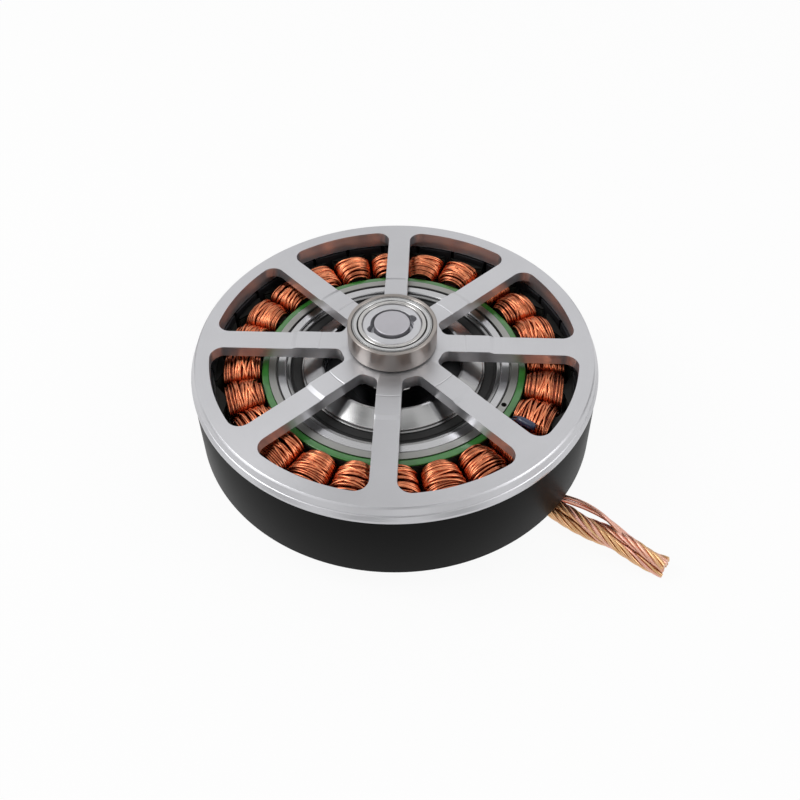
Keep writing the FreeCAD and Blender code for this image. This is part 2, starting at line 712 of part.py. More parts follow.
def stator_base():
    """Mounting disc and the tube that carries the stack and the ring gear."""
    body = new_body("stator_base")
    tube_bore = s.ring_radius
    ledge = s.core_bore + s.tube_ledge
    revolve(body, "turned", (
        (s.lower_outer - s.sill_width, ZERO),
        (s.base_radius, ZERO),
        (s.base_radius, s.base_rim_height),
        (s.base_radius - s.base_rim_wall, s.base_rim_height),
        (s.base_radius - s.base_rim_wall, s.base_floor),
        (ledge, s.base_floor),
        (ledge, insulated_bottom),
        (s.core_bore, insulated_bottom),
        (s.core_bore, s.tube_top),
        (tube_bore + s.tube_relief, s.tube_top),
        (tube_bore + s.tube_relief, s.tube_top - s.tube_relief_depth),
        (tube_bore, s.tube_top - s.tube_relief_depth),
        (tube_bore, lower_bearing_top),
        (s.lower_outer, lower_bearing_top),
        (s.lower_outer, s.sill_height),
        (s.lower_outer - s.sill_width, s.sill_height),
    ))
    half = s.lead_radius + s.channel_gap
    channel = new_sketch(body, "lead_channel_outline", "XY_Plane")
    polygon(channel, (
        (s.channel_start, -half),
        (s.base_radius + 1, -half),
        (s.base_radius + 1, half),
        (s.channel_start, half),
    ))
    pocket(body, "lead_channel", channel, s.lead_height + s.lead_radius + s.channel_gap,
           upwards=True)
    mount = new_sketch(body, "mount_outline", "XY_Plane")
    mount.setExpression(".AttachmentOffset.Rotation.Angle", s.mount_turn.text)
    mount.AttachmentOffset = FreeCAD.Placement(
        FreeCAD.Vector(), FreeCAD.Rotation(FreeCAD.Vector(0, 0, 1), s.mount_turn.value))
    circle(mount, s.mount_hole, s.mount_circle, ZERO)
    hole = pocket(body, "mount_hole", mount, s.base_floor, upwards=True)
    ring_pattern(body, "mount_holes", [hole], s.mount_count)
    hole_ring(body, "screw_hole", s.ring_screw + s.screw_fit, s.ring_screw_circle,
              s.mount_count, ZERO, lower_bearing_top, upwards=True)
    hole_ring(body, "screw_recess", s.ring_screw_head + s.screw_fit, s.ring_screw_circle,
              s.mount_count, ZERO, s.head_sink + s.head_height, upwards=True)
    probe = new_sketch(body, "probe_outline", "XY_Plane", s.tube_top)
    probe.AttachmentOffset = FreeCAD.Placement(
        FreeCAD.Vector(0, 0, s.tube_top.value),
        FreeCAD.Rotation(FreeCAD.Vector(0, 0, 1), s.probe_turn.value))
    probe.setExpression(".AttachmentOffset.Rotation.Angle", s.probe_turn.text)
    circle(probe, s.probe_hole, (s.core_bore + tube_bore + s.tube_relief) / 2, ZERO)
    pocket(body, "probe_hole", probe, s.probe_depth)
    turn_body(body, s.lead_azimuth)
    return keep(body, "stator_base")


LEAD_TURNS = ((10.5, 0.0), (11.0, 5.5), (10.5, -2.0))


def lead_bundle():
    """Twisted bundle of enamelled leads, out of the base's channel and along the floor."""
    radius = s.lead_radius.value
    heading = s.lead_azimuth.value
    points = [at_angle(s.channel_start.value, heading, s.lead_height.value)]
    for run, turn in LEAD_TURNS:
        heading += turn
        points.append(points[-1] + at_angle(run, heading))
    edges, length = smooth_path(points, "lead_bundle")
    start = points[0]
    forward = (points[1] - start).normalize()
    disc = Part.Face(Part.Wire([Part.makeCircle(radius, start, forward)]))
    tube = Part.Wire(edges).makePipeShell([disc.OuterWire], True, True)
    expected = math.pi * radius ** 2 * length
    if abs(tube.Volume - expected) > expected * 0.01:
        raise RuntimeError("lead_bundle is not as long as its path")
    bundle = doc.addObject("Part::Feature", "lead_bundle")
    bundle.Shape = tube
    return keep(bundle, "lead_bundle")


def smooth_path(points, name):
    """Straight runs joined by tangent arcs, and the path's length."""
    edges = []
    last = points[0]
    for before, corner, after in zip(points, points[1:], points[2:]):
        back = before - corner
        ahead = after - corner
        half_turn = (math.pi - back.getAngle(ahead)) / 2
        trim = 0.45 * min(back.Length, ahead.Length)
        print("%s bend radius %.1f mm" % (name, trim / math.tan(half_turn)))
        start = corner + back.normalize() * trim
        end = corner + ahead.normalize() * trim
        inward = (back + ahead).normalize()
        sagitta = trim * math.tan(half_turn / 2)
        middle = corner + inward * (trim * math.sin(half_turn) - sagitta * math.cos(half_turn))
        edges.append(Part.LineSegment(last, start).toShape())
        edges.append(Part.Arc(start, middle, end).toShape())
        last = end
    edges.append(Part.LineSegment(last, points[-1]).toShape())
    return edges, sum(edge.Length for edge in edges)


# ---------------------------------------------------------------- gears

def gear_numbers():
    """Tooth counts, pitch radii and the planets' places, all from the sheet."""
    module = s.gear_module.value
    sun = round(s.sun_teeth.value)
    planet = round(s.planet_teeth.value)
    ring = sun + 2 * planet
    count = round(s.planet_count.value)
    places = sun + ring
    first = round(places / 4)
    angles = [360.0 * (first + round(k * places / count)) / places for k in range(count)]
    return module, sun, planet, ring, angles


MODULE, SUN_TEETH, PLANET_TEETH, RING_TEETH, PLANET_ANGLES = gear_numbers()
PLANET_ORBIT = MODULE * (SUN_TEETH + PLANET_TEETH) / 2
PILLAR_ANGLES = [
    (here + (there - here) % 360.0 / 2) % 360.0
    for here, there in zip(PLANET_ANGLES, PLANET_ANGLES[1:] + PLANET_ANGLES[:1])]


def involute(base, radius):
    """Angle between an involute's start and its point at a radius."""
    roll = math.sqrt(max(radius ** 2 / base ** 2 - 1.0, 0.0))
    return roll - math.atan(roll)


def tooth_outline(teeth, low, high, thinning, steps=4):
    """Corners of one tooth, symmetric about angle zero: (radius, angle) pairs."""
    pitch = MODULE * teeth / 2
    base = pitch * math.cos(math.radians(s.pressure_angle.value))
    half = math.pi / (2 * teeth) - thinning / pitch
    flank = []
    bottom = max(low, base)
    for k in range(steps):
        radius = bottom + (high - bottom) * k / (steps - 1)
        flank.append((radius, half + involute(base, pitch) - involute(base, radius)))
    if low < base:
        flank.insert(0, (low, flank[0][1]))
    return [(radius, -angle) for radius, angle in flank] + flank[::-1]


def gear_face(teeth, low, high, thinning, first_angle=0.0):
    """A closed outline with every tooth, in the XY plane."""
    corners = []
    for k in range(teeth):
        middle = first_angle + 2 * math.pi * k / teeth
        for radius, angle in tooth_outline(teeth, low, high, thinning):
            corners.append(at_angle(radius, math.degrees(middle + angle)))
    return Part.Face(Part.makePolygon(corners + corners[:1]))


def toothed_bar(teeth, bottom, height):
    """An external gear as a solid bar."""
    pitch = MODULE * teeth / 2
    face = gear_face(teeth, pitch - MODULE * s.dedendum.value,
                     pitch + MODULE * s.addendum.value, s.backlash.value)
    bar = face.extrude(FreeCAD.Vector(0, 0, height))
    bar.translate(FreeCAD.Vector(0, 0, bottom))
    return bar


def turned_shape(points):
    """A turned solid as a plain shape, from (radius, height) Dims."""
    corners = [FreeCAD.Vector(radius.value, 0, height.value) for radius, height in points]
    face = Part.Face(Part.makePolygon(corners + corners[:1]))
    return face.revolve(FreeCAD.Vector(), FreeCAD.Vector(0, 0, 1), 360)


def plain_feature(label, shape):
    """A sub-part whose shape comes from gear arithmetic."""
    feature = doc.addObject("Part::Feature", label)
    feature.Shape = shape
    return keep(feature, label)


def sun_gear_shaft():
    """Pinion shaft: pilot, sun gear, bearing journal and the spigot in the hub."""
    shaft = turned_shape((
        (ZERO, pilot_bearing_bottom),
        (s.pilot_bore, pilot_bearing_bottom),
        (s.pilot_bore, s.gear_bottom - s.gear_side_gap),
        (s.shaft_root, s.gear_bottom - s.gear_side_gap),
        (s.shaft_root, shaft_bearing_bottom),
        (s.shaft_bore, shaft_bearing_bottom),
        (s.shaft_bore, boss_bottom),
        (s.shaft_spigot, boss_bottom),
        (s.shaft_spigot, boss_bottom + s.spigot_reach),
        (ZERO, boss_bottom + s.spigot_reach),
    ))
    gear = toothed_bar(SUN_TEETH, s.gear_bottom.value, s.gear_width.value)
    return plain_feature("sun_gear_shaft", shaft.fuse(gear).removeSplitter())


def planet_gears():
    """Three planets, each turned so that it meshes with the sun and the ring."""
    for number, angle in enumerate(PLANET_ANGLES, 1):
        gear = toothed_bar(PLANET_TEETH, s.gear_bottom.value, s.gear_width.value)
        bore = Part.makeCylinder(s.pin_radius.value + s.pin_fit.value, s.gear_width.value,
                                 FreeCAD.Vector(0, 0, s.gear_bottom.value))
        planet = plain_feature("planet_gear_%d" % number, gear.cut(bore))
        turn = angle + 180.0 + angle * SUN_TEETH / PLANET_TEETH - 180.0 / PLANET_TEETH
        planet.Placement = FreeCAD.Placement(
            at_angle(PLANET_ORBIT, angle), FreeCAD.Rotation(FreeCAD.Vector(0, 0, 1), turn))


def ring_gear():
    """Internal gear whose upper half is the main bearing's seat."""
    height = ring_teeth_top.value - lower_bearing_top.value
    pitch = MODULE * RING_TEETH / 2
    spaces = gear_face(RING_TEETH, pitch - MODULE * s.addendum.value,
                       pitch + MODULE * s.dedendum.value, -s.backlash.value,
                       math.pi * (PLANET_TEETH + 1) / RING_TEETH)
    bar = spaces.extrude(FreeCAD.Vector(0, 0, height))
    bar.translate(FreeCAD.Vector(0, 0, lower_bearing_top.value))
    blank = turned_shape((
        (ZERO, lower_bearing_top),
        (s.ring_radius, lower_bearing_top),
        (s.ring_radius, s.ring_top - s.ring_edge),
        (s.ring_radius - s.ring_edge, s.ring_top),
        (s.main_outer + s.ring_edge, s.ring_top),
        (s.main_outer, s.ring_top - s.ring_edge),
        (s.main_outer, main_bearing_bottom),
        (s.ring_bore, main_bearing_bottom),
        (s.ring_bore, ring_teeth_top),
        (ZERO, ring_teeth_top),
    ))
    shape = blank.cut(bar)
    for angle in screw_angles():
        place = at_angle(s.ring_screw_circle.value, angle, lower_bearing_top.value)
        reach = s.ring_screw_reach.value + s.ring_screw.value / 2
        shape = shape.cut(Part.makeCylinder(s.ring_screw.value, reach, place))
    return plain_feature("ring_gear", shape)


def screw_angles():
    """Where the ring gear's screws stand."""
    count = round(s.mount_count.value)
    return [s.lead_azimuth.value + 360.0 * k / count for k in range(count)]


def socket_screw(place, down, shank, reach, head, height):
    """A socket-head screw: its seat at place, its shank along down."""
    sign = 1.0 if down else -1.0
    axis = FreeCAD.Vector(0, 0, -sign)
    body = Part.makeCylinder(shank, reach, place, axis)
    cap = Part.makeCylinder(head, height, place, axis * -1.0)
    top = place + FreeCAD.Vector(0, 0, sign * height)
    across = s.socket_width.value / math.cos(math.pi / 6)
    corners = [top + at_angle(across, 60.0 * k) for k in range(7)]
    socket = Part.Face(Part.makePolygon(corners)).extrude(axis * s.socket_depth.value)
    return body.fuse(cap).cut(socket)


def ring_gear_screws():
    """Screws from the base's underside into the ring gear."""
    seat = s.head_sink.value + s.head_height.value
    reach = lower_bearing_top.value - seat + s.ring_screw_reach.value
    screws = [
        socket_screw(at_angle(s.ring_screw_circle.value, angle, seat), False,
                     s.ring_screw.value, reach, s.ring_screw_head.value, s.head_height.value)
        for angle in screw_angles()]
    return plain_feature("ring_gear_screws", Part.makeCompound(screws))


# ---------------------------------------------------------------- carrier

def cylinders(radius, ring, angles, bottom, height):
    """Upright cylinders at a circle of places."""
    return [Part.makeCylinder(radius.value, height.value, at_angle(ring, angle, bottom.value))
            for angle in angles]


def carrier_lower():
    """Output flange with the pillars that hold the two carrier plates together."""
    shape = turned_shape((
        (s.output_bore, s.output_sink),
        (s.lower_bore, s.output_sink),
        (s.lower_bore, lower_bearing_top),
        (s.lower_bore + s.lower_ring, lower_bearing_top),
        (s.lower_bore + s.lower_ring, carrier_plate_bottom),
        (carrier_plate_radius, carrier_plate_bottom),
        (carrier_plate_radius, carrier_plate_top),
        (s.pilot_outer, carrier_plate_top),
        (s.pilot_outer, pilot_bearing_bottom),
        (s.output_bore, pilot_bearing_bottom),
    ))
    pillars = cylinders(s.pillar_radius, s.pillar_circle.value, PILLAR_ANGLES,
                        carrier_plate_top, upper_plate_bottom - carrier_plate_top)
    shape = shape.multiFuse(pillars).removeSplitter()
    drills = cylinders(s.carrier_screw, s.pillar_circle.value, PILLAR_ANGLES,
                       upper_plate_bottom - s.carrier_screw_reach, s.carrier_screw_reach)
    drills += cylinders(s.pin_radius, PLANET_ORBIT, PLANET_ANGLES,
                        carrier_plate_bottom, s.plate_thickness)
    drills += cylinders(s.output_hole, s.output_circle.value, PILLAR_ANGLES,
                        s.output_sink, s.output_depth)
    for drill in drills:
        shape = shape.cut(drill)
    return plain_feature("carrier_lower", shape)


def carrier_upper():
    """Upper plate with the main bearing's collar and the rotor bearing's nest."""
    nest = s.shaft_outer + s.nest_wall
    counterbore = s.main_bore - s.collar_wall
    spigot_floor = main_bearing_top - s.lock_depth
    shape = turned_shape((
        (s.shaft_outer - s.shaft_ring - s.nest_wall / 2, upper_plate_bottom),
        (s.main_bore + s.shoulder_width, upper_plate_bottom),
        (s.main_bore + s.shoulder_width, main_bearing_bottom),
        (s.main_bore, main_bearing_bottom),
        (s.main_bore, main_bearing_top - s.collar_drop),
        (counterbore, main_bearing_top - s.collar_drop),
        (counterbore, spigot_floor),
        (s.lock_bore, spigot_floor),
        (s.lock_bore, upper_plate_top),
        (nest, upper_plate_top),
        (nest, shaft_bearing_top),
        (s.shaft_outer, shaft_bearing_top),
        (s.shaft_outer, shaft_bearing_bottom),
        (s.shaft_outer - s.shaft_ring - s.nest_wall / 2, shaft_bearing_bottom),
    ))
    drills = cylinders(s.carrier_screw + s.screw_fit, s.pillar_circle.value, PILLAR_ANGLES,
                       upper_plate_bottom, s.upper_plate)
    drills += cylinders(s.pin_radius, PLANET_ORBIT, PLANET_ANGLES,
                        upper_plate_bottom, s.pin_head)
    for drill in drills:
        shape = shape.cut(drill)
    return plain_feature("carrier_upper", shape)


def lock_ring():
    """Dished ring that clamps the main bearing's inner ring on the carrier."""
    counterbore = s.main_bore - s.collar_wall
    rim = s.main_bore + s.lock_overlap
    return turned_piece("bearing_lock_ring", (
        (s.lock_bore, main_bearing_top - s.lock_depth),
        (counterbore, main_bearing_top - s.lock_depth),
        (counterbore, main_bearing_top),
        (rim, main_bearing_top),
        (rim, main_bearing_top + s.lock_edge),
        (s.lock_bore + s.lock_lip, main_bearing_top + s.lock_rise),
        (s.lock_bore, main_bearing_top + s.lock_rise),
    ))


def planet_pins():
    """Hardened pins that the planets turn on."""
    pins = cylinders(s.pin_radius, PLANET_ORBIT, PLANET_ANGLES, carrier_plate_bottom,
                     upper_plate_bottom + s.pin_head - carrier_plate_bottom)
    return plain_feature("planet_pins", Part.makeCompound(pins))


def carrier_screws():
    """Screws that clamp the upper plate on the pillars."""
    screws = [
        socket_screw(at_angle(s.pillar_circle.value, angle, upper_plate_top.value), True,
                     s.carrier_screw.value, s.upper_plate.value + s.carrier_screw_reach.value,
                     s.carrier_head.value, s.carrier_head_height.value)
        for angle in PILLAR_ANGLES]
    return plain_feature("carrier_screws", Part.makeCompound(screws))


# ---------------------------------------------------------------- bearings

def bearing_ring(label, inner, outer, bottom, width, edge_outside):
    """One ring of a bearing, with its outer or inner corners broken."""
    edge = s.bearing_edge
    top = bottom + width
    if edge_outside:
        points = ((inner, bottom), (outer - edge, bottom), (outer, bottom + edge),
                  (outer, top - edge), (outer - edge, top), (inner, top))
    else:
        points = ((inner + edge, bottom), (outer, bottom), (outer, top),
                  (inner + edge, top), (inner, top - edge), (inner, bottom + edge))
    return turned_piece(label, points)


def bearing(name, bore, outer, width, ring, bottom, sealed=True):
    """A ball bearing as its two rings and its pair of seals."""
    bearing_ring(name + "_inner_ring", bore, bore + ring, bottom, width, False)
    bearing_ring(name + "_outer_ring", outer - ring, outer, bottom, width, True)
    if not sealed:
        return
    body = new_body(name + "_seals")
    for side, low in (("lower", bottom + s.seal_sink),
                      ("upper", bottom + width - s.seal_sink - s.seal_thickness)):
        revolve(body, side, (
            (bore + ring + s.seal_gap, low),
            (outer - ring, low),
            (outer - ring, low + s.seal_thickness),
            (bore + ring + s.seal_gap, low + s.seal_thickness),
        ))
    keep(body, name + "_seals")


def bearings():
    """Every bearing of the actuator."""
    bearing("hub_bearing", s.hub_bore, s.hub_outer, s.hub_width, s.hub_ring,
            hub_bearing_bottom)
    bearing("main_bearing", s.main_bore, s.main_outer, s.main_width, s.main_ring,
            main_bearing_bottom)
    bearing("lower_bearing", s.lower_bore, s.lower_outer, s.lower_width, s.lower_ring,
            s.sill_height)
    bearing("shaft_bearing", s.shaft_bore, s.shaft_outer, s.shaft_width, s.shaft_ring,
            shaft_bearing_bottom)
    bearing("pilot_bearing", s.pilot_bore, s.pilot_outer, s.pilot_width, s.pilot_ring,
            pilot_bearing_bottom, sealed=False)


# ---------------------------------------------------------------- build and export

def check_document():
    """Stop if any object failed or any sub-part has no sound solid."""
    doc.recompute()
    for obj in doc.Objects:
        if "Invalid" in obj.State or "Error" in obj.State:
            raise RuntimeError("%s did not recompute: %s" % (obj.Label, obj.State))
    for label, obj in pieces.items():
        shape = obj.Shape
        if shape.isNull() or not shape.isValid() or not shape.Solids:
            raise RuntimeError(label + " has no valid solid")


def main():
    """Build every sub-part and write one STEP file for each."""
    rotor_cover()
    flux_ring()
    rotor_magnets()
    encoder_magnet()
    toothed_plate("stator_core", s.core_bottom, s.core_height)
    toothed_plate("upper_insulator", core_top, s.insulator)
    toothed_plate("lower_insulator", insulated_bottom, s.insulator)
    windings()
    temperature_sensor()
    stator_base()
    lead_bundle()
    sun_gear_shaft()
    planet_gears()
    ring_gear()
    ring_gear_screws()
    carrier_lower()
    carrier_upper()
    lock_ring()
    planet_pins()
    carrier_screws()
    bearings()
    check_document()
    os.makedirs("parts", exist_ok=True)
    for label, obj in pieces.items():
        obj.Shape.exportStep("parts/%s.step" % label)
        print("%-28s %3d solids %9.1f mm3" % (label, len(obj.Shape.Solids), obj.Shape.Volume))


main()
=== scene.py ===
import json
import math
import random

import bmesh
import bpy
from mathutils import Matrix, Vector


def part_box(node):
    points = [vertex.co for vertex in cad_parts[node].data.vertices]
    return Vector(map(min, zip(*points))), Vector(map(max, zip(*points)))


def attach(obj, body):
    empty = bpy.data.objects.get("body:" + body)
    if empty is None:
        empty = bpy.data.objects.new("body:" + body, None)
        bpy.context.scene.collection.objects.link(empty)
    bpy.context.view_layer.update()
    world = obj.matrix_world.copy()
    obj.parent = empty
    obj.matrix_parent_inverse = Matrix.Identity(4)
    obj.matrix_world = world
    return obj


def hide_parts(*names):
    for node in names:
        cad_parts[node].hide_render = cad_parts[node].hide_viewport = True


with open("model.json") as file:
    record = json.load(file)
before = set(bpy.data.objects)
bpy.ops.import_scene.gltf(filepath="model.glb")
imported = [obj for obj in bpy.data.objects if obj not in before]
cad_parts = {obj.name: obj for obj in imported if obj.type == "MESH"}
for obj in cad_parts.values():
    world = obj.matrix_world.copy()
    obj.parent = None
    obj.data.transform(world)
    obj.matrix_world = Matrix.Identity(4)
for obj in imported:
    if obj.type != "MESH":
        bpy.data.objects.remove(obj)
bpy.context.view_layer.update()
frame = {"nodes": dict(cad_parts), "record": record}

bl_info = {
    "name": "Joint actuator dressing",
    "version": (1, 0, 0),
    "blender": (4, 5, 0),
    "location": "3D View > Sidebar > Actuator",
    "description": "Machined cover, windings, bearings, leads and finishes of a joint actuator",
    "category": "Object",
}

MM = 0.001
TURN = 2 * math.pi
SEGMENTS = 256


# ---- places from the frame

def low(node):
    """Height of a node's lowest point."""
    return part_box(node)[0].z


def top(node):
    """Height of a node's highest point."""
    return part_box(node)[1].z


def reach(node):
    """Outer radius of a node that is turned about the Z axis."""
    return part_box(node)[1].x


RIM_HEIGHT = 2.63 * MM
SPOKE_THICKNESS = 2.0 * MM
PLATEAU_RISE = 0.3 * MM
MAGNET_PROUD = 0.3 * MM
COVER_TOP = top("flux_ring") + RIM_HEIGHT
SPOKE_FACE = COVER_TOP - SPOKE_THICKNESS
PLATEAU = COVER_TOP + PLATEAU_RISE
NOSE_TOP = top("encoder_magnet") - MAGNET_PROUD
HUB_RING_WALL = 0.7 * MM
MAIN_RING_WALL = 0.75 * MM
SLOTS = 24
PHASES = 3
NEAR_AXIS = 1e-7


# ---- sizes and colours

def length(name, description, millimetres):
    """A size that the panel shows, given in millimetres."""
    return bpy.props.FloatProperty(
        name=name, description=description, default=millimetres * MM, precision=6,
        unit="LENGTH", subtype="DISTANCE")


def angle(name, description, degrees):
    """An angle that the panel shows, given in degrees."""
    return bpy.props.FloatProperty(
        name=name, description=description, default=math.radians(degrees),
        unit="ROTATION", subtype="ANGLE")


def share(name, description, value):
    """A number between 0 and 1."""
    return bpy.props.FloatProperty(
        name=name, description=description, default=value, min=0.0, max=1.0,
        subtype="FACTOR")


def count(name, description, value):
    """A whole number of things."""
    return bpy.props.IntProperty(name=name, description=description, default=value, min=1)


def colour(name, description, value):
    """A surface colour."""
    return bpy.props.FloatVectorProperty(
        name=name, description=description, default=value, min=0.0, max=1.0,
        size=3, subtype="COLOR")


class ActuatorStage(bpy.types.PropertyGroup):
    """Where the camera stands and how the studio is lit."""
    lens: length("Lens", "Focal length of the camera", 40.44)
    distance: length("Distance", "Camera to the point it looks at", 143.1)
    elevation: angle("Elevation", "Camera above the horizon", 39.95)
    azimuth: angle("Azimuth", "Camera round the part", 6.24)
    roll: angle("Roll", "Camera about its own line of sight", -2.98)
    aim_side: length("Aim, sideways", "Point looked at, to the right of the axis", -4.93)
    aim_height: length("Aim, height", "Point looked at, above the base", 34.66)
    shift_side: share("Shift, sideways", "Frame shifted across the lens", 0.05)
    shift_down: share("Shift, down", "Frame shifted down on the lens", 0.15)
    floor_glow: share("Floor glow", "How much of the floor is plain white", 0.93)
    ambient: share("Ambient", "Even light from all round", 0.62)


class ActuatorCover(bpy.types.PropertyGroup):
    """Machined cover of the rotor."""
    spokes: count("Spokes", "Spokes between the hub and the rim", 8)
    spoke_width: length("Spoke width", "Width of a spoke", 4.03)
    rim_taper: length("Rim taper", "How far the rim draws in towards its top", 1.0)
    rim_land: length("Rim land", "Flat between the rim's edge and the windows", 2.3)
    rim_groove: length("Rim groove", "Depth of the turned groove", 0.15)
    spigot_depth: length("Spigot", "Depth of the spigot in the skirt", 0.8)
    skirt_wall: length("Skirt wall", "Wall of the steel skirt", 1.6)
    plateau_radius: length("Raised middle", "Radius of the raised middle", 16.4)
    plateau_ramp: length("Ramp", "Width of the ramp round the raised middle", 0.8)
    scribe_radius: length("Scribed line", "Radius of the line across the spokes", 12.4)
    hub_radius: length("Hub", "Radius of the solid hub", 8.8)
    outer_corner: length("Outer corners", "Window corners at the rim", 2.2)
    inner_corner: length("Inner corners", "Window corners at the hub", 1.3)
    edge: length("Broken edge", "Size of the broken edges", 0.13)
    boss_radius: length("Boss", "Boss under the hub", 5.2)
    shaft_radius: length("Shaft bore", "Bore for the sun shaft", 3.0)
    boss_drop: length("Boss drop", "Boss below the spokes", 2.2)
    shaft_reach: length("Shaft reach", "Depth of the bore for the shaft", 4.8)
    pocket_gap: length("Pocket gap", "Pocket wall to the encoder magnet", 0.6)
    relief_radius: length("Relief", "Glue reliefs beside the pocket", 0.9)
    relief_depth: length("Relief depth", "Depth of the glue reliefs", 1.4)


class ActuatorCoils(bpy.types.PropertyGroup):
    """Windings on the stator's teeth."""
    wire: length("Wire", "Diameter of the enamelled wire", 0.38)
    turns: count("Turns", "Turns that show along a tooth", 17)
    over: count("Crossing turns", "Loose turns that cross over the rest", 9)
    inner: length("Inner end", "Radius where a coil starts", 22.75)
    outer: length("Outer end", "Radius where a coil stops", 29.07)
    gap: length("Coil gap", "Half of the gap between two coils", 0.15)
    crown: length("Crown", "Height of a coil's rounded end", 2.1)
    barrel: length("Barrel", "How much lower a coil is at its two ends", 0.55)
    first: angle("First tooth", "First tooth's turn from the X axis", 4.5)


class ActuatorLeads(bpy.types.PropertyGroup):
    """Twisted bundle of leads."""
    diameter: length("Bundle", "Diameter of the bundle", 3.8)
    ropes: count("Ropes", "Ropes in the bundle, one to a phase", 3)
    wires: count("Wires", "Wires round the middle one of a rope", 6)
    lay_length: length("Lay", "Length of one turn of the bundle", 34.0)
    rope_lay: length("Rope lay", "Length of one turn of a rope", 12.0)


class ActuatorColours(bpy.types.PropertyGroup):
    """Colours of the finishes."""
    aluminium: colour("Aluminium", "Turned and milled aluminium", (0.55, 0.55, 0.57))
    holder: colour("Holder", "Grey turned aluminium", (0.34, 0.34, 0.325))
    coat: colour("Black coat", "Satin black coat of the skirt", (0.0045, 0.0045, 0.0045))
    bearing: colour("Bearing steel", "Ground bearing steel", (0.50, 0.49, 0.48))
    # The coils' colours: copper darkened to 0.3 is a painted shade colour, and pale copper is a
    # painted highlight colour.
    copper: colour("Copper", "Enamelled copper, mid tone", (0.62, 0.09, 0.03))
    copper_highlight: colour("Pale copper", "Enamelled copper, pale turns", (0.95, 0.33, 0.15))
    lead_pink: colour("Pink lead", "Enamel of the pink leads", (0.80, 0.43, 0.36))
    lead_gold: colour("Gold lead", "Enamel of the gold leads", (0.70, 0.42, 0.20))
    green: colour("Green coat", "Insulating coat of the stator", (0.032, 0.17, 0.028))


GROUPS = {
    "actuator_stage": ActuatorStage,
    "actuator_cover": ActuatorCover,
    "actuator_coils": ActuatorCoils,
    "actuator_leads": ActuatorLeads,
    "actuator_colours": ActuatorColours,
}


# ---- making meshes

def in_scene(name, data):
    """An object on some data, linked to the scene."""
    held = bpy.data.objects.new(name, data)
    bpy.context.scene.collection.objects.link(held)
    return held


def new_piece(name, verts, faces, material, sharp=35.0):
    """A smooth-shaded mesh object whose creases stay crisp."""
    mesh = bpy.data.meshes.new(name)
    mesh.from_pydata([tuple(v) for v in verts], [], faces)
    mesh.validate()
    shade(mesh, sharp)
    mesh.materials.append(material)
    return in_scene(name, mesh)


def shade(mesh, sharp):
    """Outward faces, smooth up to a crease of so many degrees."""
    work = bmesh.new()
    work.from_mesh(mesh)
    bmesh.ops.recalc_face_normals(work, faces=work.faces)
    work.to_mesh(mesh)
    work.free()
    mesh.shade_smooth()
    mesh.set_sharp_from_angle(angle=math.radians(sharp))


def settle(piece, body, slot, *nodes):
    """Ride on a body and stand for the CAD nodes named; the slot is not used."""
    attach(piece, body)
    if nodes:
        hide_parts(*nodes)


def soften(profile, radius, steps=3, closed=True):
    """Round every corner of a section; points on the axis stay."""
    out = []
    size = len(profile)
    for k, point in enumerate(profile):
        corner = Vector(point)
        before = Vector(profile[k - 1])
        after = Vector(profile[(k + 1) % size])
        open_end = not closed and k in (0, size - 1)
        if open_end or corner.x < NEAR_AXIS:
            out.append(corner)
            continue
        cut = min(radius, 0.45 * (before - corner).length, 0.45 * (after - corner).length)
        start = corner + (before - corner).normalized() * cut
        end = corner + (after - corner).normalized() * cut
        for step in range(steps + 1):
            t = step / steps
            out.append(start.lerp(corner, t).lerp(corner.lerp(end, t), t))
    return out


def lathe_data(profile, closed=True, segments=SEGMENTS):
    """Vertices and faces of a section turned about the Z axis."""
    verts, rows, faces = [], [], []
    for radius, height in profile:
        if radius < NEAR_AXIS:
            rows.append([len(verts)] * segments)
            verts.append(Vector((0, 0, height)))
            continue
        rows.append(range(len(verts), len(verts) + segments))
        for k in range(segments):
            turn = TURN * k / segments
            verts.append(Vector((radius * math.cos(turn), radius * math.sin(turn), height)))
    pairs = list(zip(rows, rows[1:]))
    if closed:
        pairs.append((rows[-1], rows[0]))
    for here, there in pairs:
        for k in range(segments):
            after = (k + 1) % segments
            ring = [here[k], here[after], there[after], there[k]]
            face = list(dict.fromkeys(ring))
            if len(face) > 2:
                faces.append(face)
    return verts, faces


def lathe(name, profile, material, edge, closed=True):
    """A turned piece with softly broken corners."""
    verts, faces = lathe_data(soften(profile, edge, closed=closed), closed)
    return new_piece(name, verts, faces, material)


def merged(parts):
    """Vertices and faces of several meshes as one."""
    verts, faces = [], []
    for part_verts, part_faces in parts:
        first = len(verts)
        verts += part_verts
        faces += [[first + index for index in face] for face in part_faces]
    return verts, faces


def walked(points, side=(0, 0, 1)):
    """Each point of a line with two directions square to it, carried along."""
    side = Vector(side)
    last = len(points) - 1
    for k, point in enumerate(points):
        ahead = (points[min(k + 1, last)] - points[max(k - 1, 0)]).normalized()
        side = (side - ahead * side.dot(ahead)).normalized()
        yield point, side, ahead.cross(side)


def tube(points, radius, sides=8, start_side=(0, 0, 1)):
    """A round tube through points, with flat ends, as vertices and faces."""
    verts, faces = [], []
    last = len(points) - 1
    for point, side, across in walked(points, start_side):
        for j in range(sides):
            turn = TURN * j / sides
            verts.append(point + (side * math.cos(turn) + across * math.sin(turn)) * radius)
    for k in range(last):
        for j in range(sides):
            after = (j + 1) % sides
            faces.append([k * sides + j, k * sides + after,
                          (k + 1) * sides + after, (k + 1) * sides + j])
    faces.append(list(range(sides))[::-1])
    faces.append([last * sides + j for j in range(sides)])
    return verts, faces


def prism(outline, bottom, ceiling):
    """An upright prism on a flat outline, as vertices and faces."""
    size = len(outline)
    verts = [Vector((x, y, z)) for z in (bottom, ceiling) for x, y in outline]
    faces = [[k, (k + 1) % size, size + (k + 1) % size, size + k] for k in range(size)]
    faces.append(list(range(size))[::-1])
    faces.append(list(range(size, 2 * size)))
    return verts, faces


